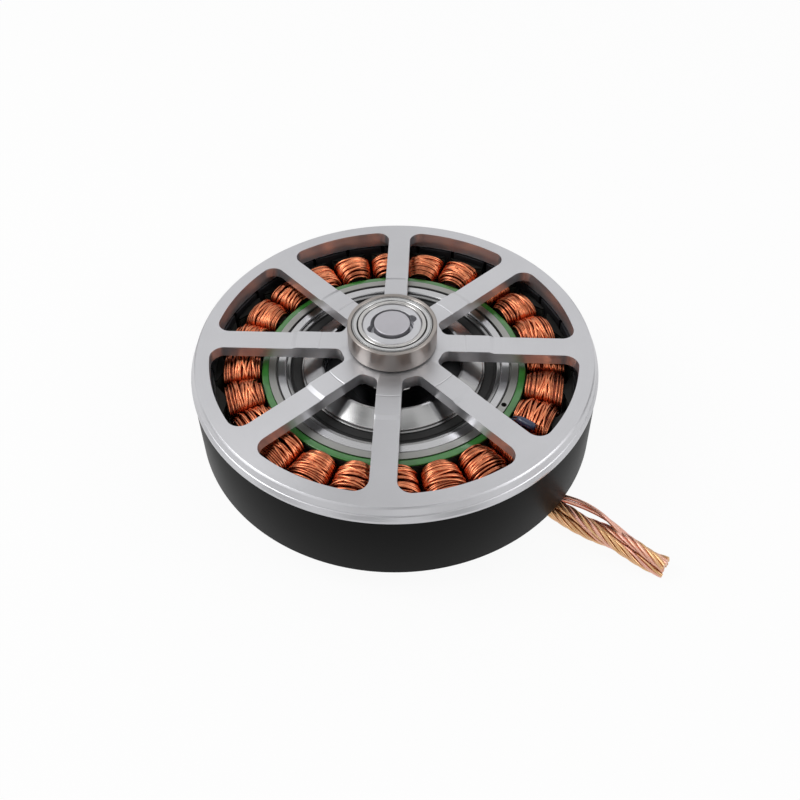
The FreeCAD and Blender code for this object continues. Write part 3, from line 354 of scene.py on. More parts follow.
def turned_about_z(verts, turn):
    """Points turned about the Z axis."""
    spin = Matrix.Rotation(turn, 3, "Z")
    return [spin @ v for v in verts]


def keep_modifiers_result(piece, sharp):
    """Replace a piece's mesh by what its modifiers make of it."""
    graph = bpy.context.evaluated_depsgraph_get()
    mesh = bpy.data.meshes.new_from_object(piece.evaluated_get(graph))
    piece.modifiers.clear()
    piece.data = mesh
    mesh.shade_smooth()
    mesh.set_sharp_from_angle(angle=math.radians(sharp))


def carve(piece, verts, faces, edge):
    """Cut a shape out of a piece, then break the sharp edges that it leaves."""
    knife = new_piece("knife", verts, faces, piece.data.materials[0])
    cut = piece.modifiers.new("cut", "BOOLEAN")
    cut.operation = "DIFFERENCE"
    cut.solver = "EXACT"
    cut.object = knife
    broken = piece.modifiers.new("broken_edges", "BEVEL")
    broken.width = edge
    broken.segments = 2
    broken.limit_method = "ANGLE"
    broken.angle_limit = math.radians(50)
    broken.miter_outer = "MITER_ARC"
    flat = piece.modifiers.new("flat_faces", "WEIGHTED_NORMAL")
    flat.keep_sharp = False
    keep_modifiers_result(piece, 60.0)
    bpy.data.objects.remove(knife)


# ---- finishes

class Finish:
    """A Principled material, wired node by node."""

    def __init__(self, name, base, metallic, roughness, **sockets):
        self.material = bpy.data.materials.new(name)
        self.material.use_nodes = True
        self.tree = self.material.node_tree
        self.shader = self.tree.nodes["Principled BSDF"]
        self.shader.inputs["Base Color"].default_value = (*base, 1.0)
        self.shader.inputs["Metallic"].default_value = metallic
        self.shader.inputs["Roughness"].default_value = roughness
        for socket, value in sockets.items():
            self.shader.inputs[socket.replace("_", " ")].default_value = value

    def node(self, kind, **settings):
        """A node with its settings; inputs are given by index as a dict."""
        made = self.tree.nodes.new(kind)
        for index, value in settings.pop("inputs", {}).items():
            made.inputs[index].default_value = value
        for setting, value in settings.items():
            setattr(made, setting, value)
        return made

    def link(self, output, target):
        """Join an output to an input."""
        self.tree.links.new(output, target)

    def place(self):
        """Object coordinates."""
        return self.node("ShaderNodeTexCoord").outputs["Object"]

    def noise(self, scale, detail=4.0, place=None):
        """Fractal noise, so many bumps to the metre."""
        made = self.node("ShaderNodeTexNoise",
                         inputs={"Scale": scale, "Detail": detail})
        self.link(place or self.place(), made.inputs["Vector"])
        return made.outputs["Fac"]

    def math(self, operation, first, second=0.0):
        """A sum on one or two values."""
        made = self.node("ShaderNodeMath", operation=operation)
        for index, value in enumerate((first, second)):
            if isinstance(value, (int, float)):
                made.inputs[index].default_value = value
            else:
                self.link(value, made.inputs[index])
        return made.outputs[0]

    def ramp(self, value, low_value, high_value):
        """A value spread over a new range."""
        made = self.node("ShaderNodeMapRange",
                         inputs={"To Min": low_value, "To Max": high_value})
        self.link(value, made.inputs["Value"])
        return made.outputs["Result"]

    def blend(self, value, first, second):
        """Base colour between two, by a value."""
        made = self.node("ShaderNodeMix", data_type="RGBA")
        self.link(value, made.inputs[0])
        made.inputs[6].default_value = (*first, 1.0)
        made.inputs[7].default_value = (*second, 1.0)
        self.link(made.outputs[2], self.shader.inputs["Base Color"])

    def rings(self, pitch):
        """Fine tool marks round the Z axis, one to each pitch, uneven as they are cut."""
        place = self.place()
        split = self.node("ShaderNodeSeparateXYZ")
        self.link(place, split.inputs[0])
        squares = self.math("ADD", self.math("POWER", split.outputs["X"], 2.0),
                            self.math("POWER", split.outputs["Y"], 2.0))
        radius = self.math("SQRT", squares)
        flat = self.node("ShaderNodeCombineXYZ")
        self.link(radius, flat.inputs["X"])
        self.link(split.outputs["Z"], flat.inputs["Z"])
        return self.noise(1.0 / pitch, 3.0, flat.outputs[0])

    def bump(self, height, distance, strength=0.4):
        """Relief from a height value."""
        made = self.node("ShaderNodeBump",
                         inputs={"Strength": strength, "Distance": distance})
        self.link(height, made.inputs["Height"])
        self.link(made.outputs[0], self.shader.inputs["Normal"])

    def wear(self, base, tones, cloud, marks, relief, strength=0.4):
        """Tone that follows one value, and relief that follows another."""
        self.blend(cloud, toned(base, tones[0]), toned(base, tones[1]))
        self.bump(marks, relief, strength)

    def uneven(self, value, low_value, high_value):
        """Roughness that varies over the surface."""
        self.link(self.ramp(value, low_value, high_value), self.shader.inputs["Roughness"])


def toned(shade_colour, factor):
    """A colour times a factor."""
    return tuple(part * factor for part in shade_colour)


def milled_aluminium(colours):
    """Bright aluminium, finely turned and milled, a little clouded."""
    made = Finish("milled_aluminium", colours.aluminium, 1.0, 0.34,
                  Anisotropic=0.6, Anisotropic_Rotation=0.25)
    marks = made.rings(0.16 * MM)
    made.wear(colours.aluminium, (0.93, 1.06), made.noise(120.0), marks, 0.004 * MM)
    made.uneven(marks, 0.28, 0.46)
    return made.material


def grey_aluminium(colours):
    """Duller turned aluminium of the base."""
    made = Finish("grey_aluminium", colours.holder, 1.0, 0.42)
    marks = made.rings(0.2 * MM)
    made.wear(colours.holder, (0.85, 1.12), made.noise(260.0), marks, 0.006 * MM)
    made.uneven(marks, 0.32, 0.5)
    return made.material


def black_coat(colours):
    """Satin black coat with a fine orange peel and faint handling marks."""
    made = Finish("black_coat", colours.coat, 0.0, 0.42,
                  Specular_IOR_Level=0.05)
    cloud = made.noise(90.0)
    made.wear(colours.coat, (0.8, 1.4), cloud, made.noise(2600.0, 2.0), 0.01 * MM, 0.25)
    made.uneven(cloud, 0.36, 0.46)
    return made.material


def ground_steel(name, base, smooth, pitch=0.1 * MM, depth=0.002 * MM, grain=0.5):
    """Ground or polished steel with fine rings; its shine spreads across them."""
    made = Finish(name, base, 1.0, smooth, Anisotropic=grain, Anisotropic_Rotation=0.25)
    marks = made.rings(pitch)
    made.wear(base, (0.92, 1.05), marks, marks, depth)
    made.uneven(marks, smooth * 0.75, smooth * 1.3)
    return made.material


def dark_steel(name, base, smooth):
    """Oxidised or hardened steel, faintly mottled."""
    made = Finish(name, base, 0.85, smooth)
    mottle = made.noise(900.0)
    made.wear(base, (0.75, 1.3), mottle, mottle, 0.006 * MM, 0.3)
    made.uneven(mottle, smooth * 0.8, smooth * 1.25)
    return made.material


def rubber():
    """Black bearing seal, faintly grained."""
    made = Finish("seal_rubber", (0.012, 0.012, 0.012), 0.0, 0.5, Specular_IOR_Level=0.35)
    grain = made.noise(3500.0, 2.0)
    made.blend(grain, (0.008, 0.008, 0.008), (0.02, 0.02, 0.02))
    made.bump(grain, 0.01 * MM, 0.3)
    return made.material


def enamelled_wire(name, deep, pale, smooth):
    """Enamelled wire toned turn by turn between two colours: a random tone, and on the coils
    also painted shade on the pack under the turns and painted highlight on the crossing turns.
    """
    made = Finish(name, pale, 1.0, smooth, Coat_Weight=0.35, Coat_Roughness=0.12)
    tone_and_painted_light = made.node("ShaderNodeAttribute", attribute_name="tone_and_painted_light").outputs["Fac"]
    cloud = made.noise(700.0)
    patch = made.ramp(cloud, -0.45, 0.45)
    # Tone per vertex: random on the leads; on the coils near 0 is painted shade and near 1 is
    # painted highlight.
    tone = made.math("ADD", made.math("MULTIPLY", tone_and_painted_light, 0.85), patch)
    made.blend(tone, deep, pale)
    made.uneven(cloud, smooth * 0.8, smooth * 1.3)
    made.bump(made.noise(5200.0, 2.0), 0.006 * MM, 0.2)
    return made.material


def green_coat(colours):
    """Glossy green insulating coat, a little lumpy."""
    made = Finish("green_coat", colours.green, 0.0, 0.22,
                  Specular_IOR_Level=0.6, Coat_Weight=0.5, Coat_Roughness=0.08)
    lumps = made.noise(1100.0)
    made.wear(colours.green, (0.7, 1.35), lumps, lumps, 0.05 * MM, 0.35)
    return made.material


def laminations(colours):
    """Stack of thin sheets: fine dark lines up the height."""
    made = Finish("laminations", toned(colours.green, 0.35), 0.6, 0.4)
    split = made.node("ShaderNodeSeparateXYZ")
    made.link(made.place(), split.inputs[0])
    sheet_pitch = 0.35 * MM
    wave = made.math("SINE", made.math("MULTIPLY", split.outputs["Z"], TURN / sheet_pitch))
    made.blend(made.ramp(wave, 0.0, 1.0), (0.03, 0.035, 0.03), (0.12, 0.14, 0.12))
    made.bump(wave, 0.02 * MM)
    return made.material


def nickel_plate(name, base, smooth):
    """Nickel plated magnet, a little clouded."""
    made = Finish(name, base, 0.85, smooth)
    cloud = made.noise(520.0)
    made.wear(base, (0.93, 1.07), cloud, made.noise(1800.0, 2.0), 0.004 * MM, 0.25)
    made.uneven(cloud, smooth * 0.8, smooth * 1.2)
    return made.material


def epoxy_bead():
    """Dark blue epoxy of the temperature bead."""
    made = Finish("epoxy_bead", (0.012, 0.022, 0.06), 0.0, 0.25,
                  Coat_Weight=0.4, Coat_Roughness=0.1)
    lumps = made.noise(1500.0)
    made.blend(lumps, (0.008, 0.014, 0.04), (0.02, 0.035, 0.09))
    made.bump(lumps, 0.04 * MM, 0.3)
    return made.material


FINISHES = {}


def make_finishes(colours):
    """Every finish, by the material slot that it belongs to."""
    FINISHES.update({
        "turned_aluminium": milled_aluminium(colours),
        "holder_aluminium": grey_aluminium(colours),
        "black_steel": black_coat(colours),
        "magnet_nickel": nickel_plate("magnet_nickel", (0.46, 0.45, 0.48), 0.42),
        "rotor_magnets": nickel_plate("magnet_dull", (0.05, 0.05, 0.055), 0.4),
        "tooth_shoes": dark_steel("tooth_shoes", (0.02, 0.02, 0.018), 0.45),
        "lock_ring_steel": ground_steel("lock_ring_steel", (0.40, 0.40, 0.40), 0.24,
                                        0.3 * MM, 0.006 * MM, 0.85),
        # The hub's outer race is darker and browner than the bearing steel of its inner race:
        # painted reflection of the brown that its wall mirrors.
        "hub_race_steel": ground_steel("hub_race_steel", (0.36, 0.33, 0.31), 0.30,
                                       grain=0.95),
        "main_race_steel": ground_steel("main_race_steel", (0.30, 0.30, 0.30), 0.26),
        "bearing_steel": ground_steel("bearing_steel", colours.bearing, 0.14),
        "gear_steel": ground_steel("gear_steel", (0.5, 0.5, 0.51), 0.24),
        "shield_steel": ground_steel("shield_steel", (0.5, 0.5, 0.5), 0.22, 0.14 * MM),
        "black_oxide": dark_steel("black_oxide", (0.035, 0.035, 0.038), 0.32),
        "screw_steel": dark_steel("screw_steel", (0.07, 0.07, 0.075), 0.3),
        "lamination_steel": laminations(colours),
        "green_insulation": green_coat(colours),
        # The coils run from copper darkened to 0.3, a painted shade colour, to the pale copper,
        # a painted highlight colour.
        "copper_wire": enamelled_wire("copper_wire", toned(colours.copper, 0.3),
                                      colours.copper_highlight, 0.24),
        "lead_wire": enamelled_wire("lead_wire", colours.lead_gold, colours.lead_pink, 0.3),
        "sensor_epoxy": epoxy_bead(),
        "bearing_seal": rubber(),
    })


# ---- stage

def make_camera(look):
    """A camera that looks down on the cover from the front."""
    turn = Matrix.Rotation(look.azimuth, 3, "Z")
    back = turn @ Vector((0, -math.cos(look.elevation), math.sin(look.elevation)))
    level = turn @ Vector((1, 0, 0))
    upward = back.cross(level)
    across = level * math.cos(look.roll) + upward * math.sin(look.roll)
    aim = turn @ Vector((look.aim_side, 0, look.aim_height))
    axes = Matrix((across, back.cross(across), back)).transposed()
    data = bpy.data.cameras.new("camera")
    data.sensor_width = 36.0
    data.lens = look.lens / MM
    data.clip_start = 0.01
    data.clip_end = 10.0
    data.shift_x = look.shift_side
    data.shift_y = -look.shift_down
    camera = in_scene("camera", data)
    camera.matrix_world = Matrix.Translation(aim + back * look.distance) @ axes.to_4x4()
    bpy.context.scene.camera = camera


LAMP_AIM = (0.0, 0.0, 0.012)
KEY_LAMP = (0.26, 1.0, (-0.34, -0.06, 0.38))
FILL_LAMP = (0.20, 0.35, (0.36, -0.10, 0.26))
FLOOR_SIDE = 3.0
FLOOR_DROP = 0.0001
CARD_AIM = (0, 0, 0.02)
CARD_FRONT = (0.0, -0.26, 0.27)
CARD_SIDE = 0.13
LOW_CARDS = 9
LOW_CARD_START = 0.35
LOW_CARD_DISTANCE = 0.36
LOW_CARD_RISE = 0.12
LOW_CARD_AIM = (0, 0, 0.03)
HIGH_CARD_SIDE = 0.10
HIGH_CARD_TURNS = (0.5, 1.9, 3.5, 5.2)
HIGH_CARD_DISTANCE = 0.4
HIGH_CARD_SPREAD = 0.4
HIGH_CARD_RISE = 0.95


def mixed_surface(tree, factor, first, second, out):
    """Two shaders mixed by a factor, as the surface."""
    mix = tree.nodes.new("ShaderNodeMixShader")
    for source, target in zip((factor, first.outputs[0], second.outputs[0]), mix.inputs):
        tree.links.new(source, target)
    tree.links.new(mix.outputs[0], out.inputs["Surface"])


def seen_as_background(tree):
    """1 for the rays that show the background: camera, glossy and transmission."""
    path = tree.nodes.new("ShaderNodeLightPath")
    total = path.outputs["Is Camera Ray"]
    for name in ("Is Glossy Ray", "Is Transmission Ray"):
        larger = tree.nodes.new("ShaderNodeMath")
        larger.operation = "MAXIMUM"
        tree.links.new(total, larger.inputs[0])
        tree.links.new(path.outputs[name], larger.inputs[1])
        total = larger.outputs[0]
    return total


def make_world(ambient):
    """A white background and an even, soft light."""
    world = bpy.data.worlds.new("studio")
    world.use_nodes = True
    tree = world.node_tree
    tree.nodes.clear()
    shown = tree.nodes.new("ShaderNodeBackground")
    lit = tree.nodes.new("ShaderNodeBackground")
    lit.inputs["Color"].default_value = (ambient, ambient, ambient, 1.0)
    shown.inputs["Color"].default_value = (1.0, 1.0, 1.0, 1.0)
    mixed_surface(tree, seen_as_background(tree), lit, shown,
                  tree.nodes.new("ShaderNodeOutputWorld"))
    bpy.context.scene.world = world


def paper_white(glow_share):
    """White floor: shown white, with a faint soft shadow under the part."""
    paper = Finish("paper_white", (0.8, 0.8, 0.8), 0.0, 0.9)
    tree = paper.tree
    glow = tree.nodes.new("ShaderNodeEmission")
    part = tree.nodes.new("ShaderNodeMath")
    part.operation = "MULTIPLY"
    part.inputs[1].default_value = glow_share
    tree.links.new(seen_as_background(tree), part.inputs[0])
    mixed_surface(tree, part.outputs[0], paper.shader, glow, tree.nodes["Material Output"])
    return paper.material


def flat_panel(name, size, centre, facing, material):
    """A square sheet that faces a point."""
    half = size / 2
    verts = [Vector((x, y, 0)) for x, y in
             ((-half, -half), (half, -half), (half, half), (-half, half))]
    mesh = bpy.data.meshes.new(name)
    mesh.from_pydata([tuple(v) for v in verts], [], [[0, 1, 2, 3]])
    mesh.materials.append(material)
    panel = in_scene(name, mesh)
    aim = (Vector(facing) - Vector(centre)).normalized()
    panel.matrix_world = (Matrix.Translation(centre)
                          @ aim.to_track_quat("Z", "Y").to_matrix().to_4x4())
    return panel


def dark_card(name, size, centre, facing, material):
    """A black card that only shiny surfaces show, so that metal edges read."""
    card = flat_panel(name, size, centre, facing, material)
    card.visible_camera = False
    card.visible_diffuse = False
    card.visible_shadow = False
    card.visible_transmission = False


def make_cards(azimuth):
    """One card at the front, a broken row of them low down all round, and four above."""
    black = Finish("card_black", (0.01, 0.01, 0.01), 0.0, 1.0).material
    ahead = Matrix.Rotation(azimuth, 3, "Z") @ Vector(CARD_FRONT)
    dark_card("card_front", CARD_SIDE, ahead, CARD_AIM, black)
    for k in range(LOW_CARDS):
        turn = TURN * k / LOW_CARDS + LOW_CARD_START
        place = Vector((math.cos(turn), math.sin(turn), LOW_CARD_RISE)) * LOW_CARD_DISTANCE
        dark_card("card_low_%d" % k, CARD_SIDE, place, LOW_CARD_AIM, black)
    for k, turn in enumerate(HIGH_CARD_TURNS):
        place = Vector((math.cos(turn) * HIGH_CARD_SPREAD,
                        math.sin(turn) * HIGH_CARD_SPREAD, HIGH_CARD_RISE))
        dark_card("card_high_%d" % k, HIGH_CARD_SIDE, place * HIGH_CARD_DISTANCE,
                  CARD_AIM, black)


def area_light(name, size, power, place):
    """A soft square lamp that points at the part."""
    data = bpy.data.lights.new(name, "AREA")
    data.size = size
    data.energy = power
    lamp = in_scene(name, data)
    lamp.location = place
    ahead = (Vector(LAMP_AIM) - Vector(place)).normalized()
    lamp.rotation_mode = "QUATERNION"
    lamp.rotation_quaternion = ahead.to_track_quat("-Z", "Y")


class ACTUATOR_OT_stage(bpy.types.Operator):
    """Camera, white floor and soft studio light"""
    bl_idname = "actuator.stage"
    bl_label = "Stage"

    def execute(self, context):
        look = context.scene.actuator_stage
        context.scene.view_settings.view_transform = "Standard"
        make_camera(look)
        make_world(look.ambient)
        floor = flat_panel("floor", FLOOR_SIDE, (0, 0, -FLOOR_DROP), (0, 0, 1),
                           paper_white(look.floor_glow))
        floor.visible_shadow = False
        make_cards(look.azimuth)
        area_light("key_lamp", *KEY_LAMP)
        area_light("fill_lamp", *FILL_LAMP)
        return {"FINISHED"}


# ---- leads

LEAD_ROUTE = (
    (0.016180, -0.011756, 0.00215),
    (0.024675, -0.017928, 0.00215),
    (0.034153, -0.023511, 0.00215),
    (0.043008, -0.029153, 0.00215),
)
BUNDLE_START = 0.9
STRAND_WOBBLE = 0.05
STRAND_SIZES = (0.94, 1.0)
STRAND_TONES = (0.05, 0.15, 0.75, 0.9, 1.0)
PAIR_ROUTE = (
    (0.02330, -0.01580, 0.0030),
    (0.02870, -0.01780, 0.0033),
    (0.03260, -0.01950, 0.0034),
    (0.03620, -0.02280, 0.0037),
    (0.04020, -0.02720, 0.0020),
)


def smooth_line(name, points):
    """Points read from the NURBS spline on a route."""
    curve = bpy.data.curves.new(name, "CURVE")
    curve.dimensions = "3D"
    curve.resolution_u = 24
    spline = curve.splines.new("NURBS")
    spline.points.add(len(points) - 1)
    for held, point in zip(spline.points, points):
        held.co = (*point, 1.0)
    spline.order_u = 3
    spline.use_endpoint_u = True
    carrier = in_scene(name, curve)
    graph = bpy.context.evaluated_depsgraph_get()
    mesh = bpy.data.meshes.new_from_object(carrier.evaluated_get(graph))
    line = [vertex.co.copy() for vertex in mesh.vertices]
    bpy.data.objects.remove(carrier)
    bpy.data.meshes.remove(mesh)
    return line


def travelled(line):
    """Distance along a line at each of its points."""
    out = [0.0]
    for here, there in zip(line, line[1:]):
        out.append(out[-1] + (there - here).length)
    return out


def laid_round(line, offset, lay, phase, wobble=0.0, seed=0):
    """A strand laid in a helix round a line."""
    chance = random.Random(seed)
    sway = chance.uniform(0.0, TURN)
    out = []
    for (point, side, across), gone in zip(walked(line), travelled(line)):
        turn = phase + TURN * gone / lay
        arm = offset * (1 + wobble * math.sin(gone / lay * 9.0 + sway))
        out.append(point + (side * math.cos(turn) + across * math.sin(turn)) * arm)
    return out


def tinted_piece(name, strands, finish, sharp):
    """One piece of many strands, with the tone of each kept on its vertices."""
    piece = new_piece(name, *merged([made for made, _ in strands]), FINISHES[finish], sharp)
    layer = piece.data.attributes.new("tone_and_painted_light", "FLOAT", "POINT")
    layer.data.foreach_set("value", [tone for made, tone in strands for _ in made[0]])
    return piece


def make_bundle(leads):
    """Three ropes of enamelled wire, twisted round each other and cut off blunt."""
    line = smooth_line("lead_route", LEAD_ROUTE)
    rope = leads.diameter / 2 / (1 + 2 / math.sqrt(3))
    ring = leads.diameter / 2 - rope
    wire = rope / 3
    parts = []
    chance = random.Random(5)
    for k in range(leads.ropes):
        middle = laid_round(line, ring, leads.lay_length, TURN * k / leads.ropes + BUNDLE_START)
        strands = [laid_round(middle, wire * 0.02, leads.rope_lay, 0.0)]
        strands += [
            laid_round(middle, 2 * wire, leads.rope_lay, TURN * j / leads.wires,
                       STRAND_WOBBLE, 10 * k + j)
            for j in range(leads.wires)]
        for strand in strands:
            made = tube(strand, wire * chance.uniform(*STRAND_SIZES), 10)
            parts.append((made, chance.choice(STRAND_TONES)))
    piece = tinted_piece("lead_wires", parts, "lead_wire", 50.0)
    settle(piece, "stator", "lead_wire", "lead_bundle")


PAIR_WIRE = 0.34 * MM
PAIR_LAY = 26 * MM


def make_pair():
    """Two loose wires that leave the channel beside the bundle and join it."""
    line = smooth_line("pair_route", PAIR_ROUTE)
    strands = [laid_round(line, PAIR_WIRE * 1.02, PAIR_LAY, math.pi * k + 0.4)
               for k in range(2)]
    parts = [(tube(strand, PAIR_WIRE, 10), 1.0) for strand in strands]
    settle(tinted_piece("lead_pair", parts, "lead_wire", 50.0), "stator", "lead_wire")


class ACTUATOR_OT_leads(bpy.types.Operator):
    """Twisted bundle of enamelled leads with its cut end"""
    bl_idname = "actuator.leads"
    bl_label = "Leads"

    def execute(self, context):
        make_bundle(context.scene.actuator_leads)
        make_pair()
        return {"FINISHED"}


# ---- rotor

def window_outline(cover, window_radius):
    """A window between two spokes, with its four round corners, as (x, y) points."""
    half = cover.spoke_width / 2
    middle = math.pi / cover.spokes
    corners = []
    for radius, fillet, sign in ((window_radius, cover.outer_corner, -1),
                                 (cover.hub_radius, cover.inner_corner, 1)):
        away = radius + sign * fillet
        level = half + fillet
        corners.append((Vector((math.sqrt(away ** 2 - level ** 2), level)), fillet, sign))
    outer, inner = corners
    lower = []
    lean = math.atan2(inner[0].y, inner[0].x)
    lower += arc(inner[0], inner[1], math.pi + lean, 1.5 * math.pi, 8)
    lean = math.atan2(outer[0].y, outer[0].x)
    lower += arc(outer[0], outer[1], -0.5 * math.pi, lean, 10)
    flip = Matrix.Rotation(middle, 2)
    back = Matrix.Rotation(-middle, 2)
    upper = []
    for point in reversed(lower):
        straight = back @ point
        straight.y = -straight.y
        upper.append(flip @ straight)
    rim = arc(Vector((0, 0)), window_radius, math.atan2(lower[-1].y, lower[-1].x),
              math.atan2(upper[0].y, upper[0].x), 24)[1:-1]
    hub = arc(Vector((0, 0)), cover.hub_radius, math.atan2(upper[-1].y, upper[-1].x),
              math.atan2(lower[0].y, lower[0].x), 10)[1:-1]
    return [tuple(p) for p in lower + rim + upper + hub]


def arc(centre, radius, start, end, steps):
    """Points on an arc."""
    out = []
    for step in range(steps + 1):
        turn = start + (end - start) * step / steps
        out.append(centre + Vector((math.cos(turn), math.sin(turn))) * radius)
    return out


NOSE_EDGE = 0.2 * MM
SCRIBED_LINE = 0.16 * MM
SPIGOT_STEP = 0.3 * MM
TURNED_EDGE = 0.05 * MM
OVERRUN = 1 * MM
RELIEF_PLACE = (1.05, 0.45)

# Shares of the rim's taper, and heights of the groove as shares of the rim's height.
RIM_CHAMFER = 0.25
GROOVE_HEIGHTS = (0.53, 0.5, 0.45, 0.42)
GROOVE_TAPERS = (0.4, 0.35)


def make_cover(cover):
    """Machined cover: rim, eight spokes, hub, bearing seat and encoder pocket."""
    outside = reach("rotor_cover")
    bottom = top("flux_ring")
    height = COVER_TOP - bottom
    skirt_bore = reach("flux_ring") - cover.skirt_wall
    rim_top = outside - cover.rim_taper
    window = rim_top - cover.rim_land
    chamfer = cover.rim_taper * RIM_CHAMFER
    groove_edge, groove_lip = (outside - cover.rim_taper * part for part in GROOVE_TAPERS)
    groove = [bottom + height * part for part in GROOVE_HEIGHTS]
    pocket = reach("encoder_magnet") + cover.pocket_gap
    bearing_bore = reach("hub_bearing_inner_ring") - HUB_RING_WALL
    seat = reach("hub_bearing_inner_ring")
    bearing_floor = low("hub_bearing_inner_ring")
    boss_floor = SPOKE_FACE - cover.boss_drop
    scribe = cover.scribe_radius
    spigot_bore = window + SPIGOT_STEP
    profile = (
        (0.0, low("encoder_magnet")),
        (pocket, low("encoder_magnet")),
        (pocket, NOSE_TOP),
        (bearing_bore - NOSE_EDGE, NOSE_TOP),
        (bearing_bore, NOSE_TOP - NOSE_EDGE),
        (bearing_bore, bearing_floor),
        (seat, bearing_floor),
        (seat, PLATEAU),
        (scribe - SCRIBED_LINE, PLATEAU),
        (scribe, PLATEAU - SCRIBED_LINE * 0.5),
        (scribe + SCRIBED_LINE, PLATEAU),
        (cover.plateau_radius, PLATEAU),
        (cover.plateau_radius + cover.plateau_ramp, COVER_TOP),
        (rim_top, COVER_TOP),
        (rim_top + chamfer, COVER_TOP - chamfer),
        (groove_edge, groove[0]),
        (groove_lip - cover.rim_groove, groove[1]),
        (groove_lip - cover.rim_groove, groove[2]),
        (groove_lip, groove[3]),
        (outside, bottom + cover.rim_groove * 3),
        (outside, bottom),
        (skirt_bore, bottom),
        (skirt_bore, bottom - cover.spigot_depth),
        (spigot_bore, bottom - cover.spigot_depth),
        (spigot_bore, SPOKE_FACE),
        (cover.boss_radius, SPOKE_FACE),
        (cover.boss_radius, boss_floor),
        (cover.shaft_radius, boss_floor),
        (cover.shaft_radius, boss_floor + cover.shaft_reach),
        (0.0, boss_floor + cover.shaft_reach),
    )
    piece = lathe("cover_machined", profile, FINISHES["turned_aluminium"],
                  TURNED_EDGE, closed=False)
    outline = window_outline(cover, window)
    cutters = []
    for k in range(cover.spokes):
        verts, faces = prism(outline, SPOKE_FACE - OVERRUN, PLATEAU + OVERRUN)
        cutters.append((turned_about_z(verts, TURN * k / cover.spokes), faces))
    for side in (1, -1):
        centre = Vector(RELIEF_PLACE) * reach("encoder_magnet")
        ring = [tuple(p) for p in arc(centre * side, cover.relief_radius, 0, TURN, 32)[:-1]]
        cutters.append(prism(ring, NOSE_TOP - cover.relief_depth, NOSE_TOP + OVERRUN))
    carve(piece, *merged(cutters), cover.edge)
    settle(piece, "rotor", "turned_aluminium", "rotor_cover")


SKIRT_CORNER = 0.1 * MM


def make_skirt(cover):
    """Coated steel skirt with softly broken edges."""
    outside = reach("flux_ring")
    bore = outside - cover.skirt_wall
    bottom, ceiling = low("flux_ring"), top("flux_ring")
    lower_edge = cover.skirt_wall / 5
    piece = lathe("skirt_coated", (
        (bore, bottom),
        (outside - lower_edge, bottom),
        (outside, bottom + lower_edge),
        (outside, ceiling),
        (bore, ceiling),
    ), FINISHES["black_steel"], SKIRT_CORNER)
    settle(piece, "rotor", "black_steel", "flux_ring")


class ACTUATOR_OT_rotor(bpy.types.Operator):
    """Machined cover and coated skirt of the rotor"""
    bl_idname = "actuator.rotor"
    bl_label = "Rotor"

    def execute(self, context):
        cover = context.scene.actuator_cover
        make_cover(cover)
        make_skirt(cover)
        return {"FINISHED"}


# ---- bearings

RING_CORNER = 0.22 * MM
SHIELD_THICKNESS = 0.3 * MM
SHIELD_STEP = 0.1 * MM
SHIELD_CORNER = 0.04 * MM
SHIELD_INNER_GAP = 0.16 * MM
SHIELD_OUTER_GAP = 0.12 * MM
SEAL_GAP = 0.06 * MM
DISC_CORNER = 0.16 * MM
LOCK_BORE = 11.9 * MM
LOCK_SPIGOT = 13.0 * MM
LOCK_LIP = 0.5 * MM
LOCK_EDGE = 0.35 * MM


def make_races(bearing, wall, rings):
    """Ground rings of a bearing with rounded corners, each on its own body."""
    outer = bearing + "_bearing_outer_ring"
    bottom, ceiling = low(outer), top(outer)
    for side, steel, body in rings:
        node = "%s_bearing_%s_ring" % (bearing, side)
        inside, outside = reach(node) - wall, reach(node)
        race = lathe("%s_race_%s" % (bearing, side), (
            (inside, bottom), (outside, bottom), (outside, ceiling), (inside, ceiling),
        ), FINISHES[steel], RING_CORNER)
        settle(race, body, "bearing_steel", node)


def shield(inside, outside, face, depth):
    """A pressed shield with a rolled bead, its outer face given."""
    width = outside - inside
    bead = outside - width * 0.3
    sign = 1 if depth > 0 else -1
    step = SHIELD_STEP * sign
    return soften((
        (inside, face - depth),
        (inside, face - step),
        (inside + width * 0.14, face),
        (bead, face),
        (bead + width * 0.04, face - step * 2.2),
        (bead + width * 0.18, face - step * 2.2),
        (bead + width * 0.22, face),
        (outside, face),
        (outside, face - depth),
    ), SHIELD_CORNER)


def make_shields(name, node, inside, outside, material_slot, body):
    """Both shields of a bearing, as one piece."""
    faces = ((top(node), SHIELD_THICKNESS), (low(node), -SHIELD_THICKNESS))
    parts = [lathe_data(shield(inside, outside, face, depth))
             for face, depth in faces]
    piece = new_piece(name, *merged(parts), FINISHES[material_slot])
    settle(piece, body, material_slot, node)


class ACTUATOR_OT_hub(bpy.types.Operator):
    """Hub bearing with its shields, and the encoder magnet"""
    bl_idname = "actuator.hub"
    bl_label = "Hub bearing"

    def execute(self, context):
        make_races("hub", HUB_RING_WALL, (
            ("outer", "hub_race_steel", "hub_bearing_outer"),
            ("inner", "bearing_steel", "rotor")))
        make_shields("hub_shields", "hub_bearing_seals",
                     reach("hub_bearing_inner_ring") + SHIELD_INNER_GAP,
                     reach("hub_bearing_outer_ring") - HUB_RING_WALL - SHIELD_OUTER_GAP,
                     "shield_steel", "hub_bearing_outer")
        magnet = "encoder_magnet"
        disc = lathe("encoder_disc", (
            (0.0, low(magnet)),
            (reach(magnet), low(magnet)),
            (reach(magnet), top(magnet)),
            (0.0, top(magnet)),
        ), FINISHES["magnet_nickel"], DISC_CORNER, closed=False)
        settle(disc, "rotor", "magnet_nickel", magnet)
        return {"FINISHED"}


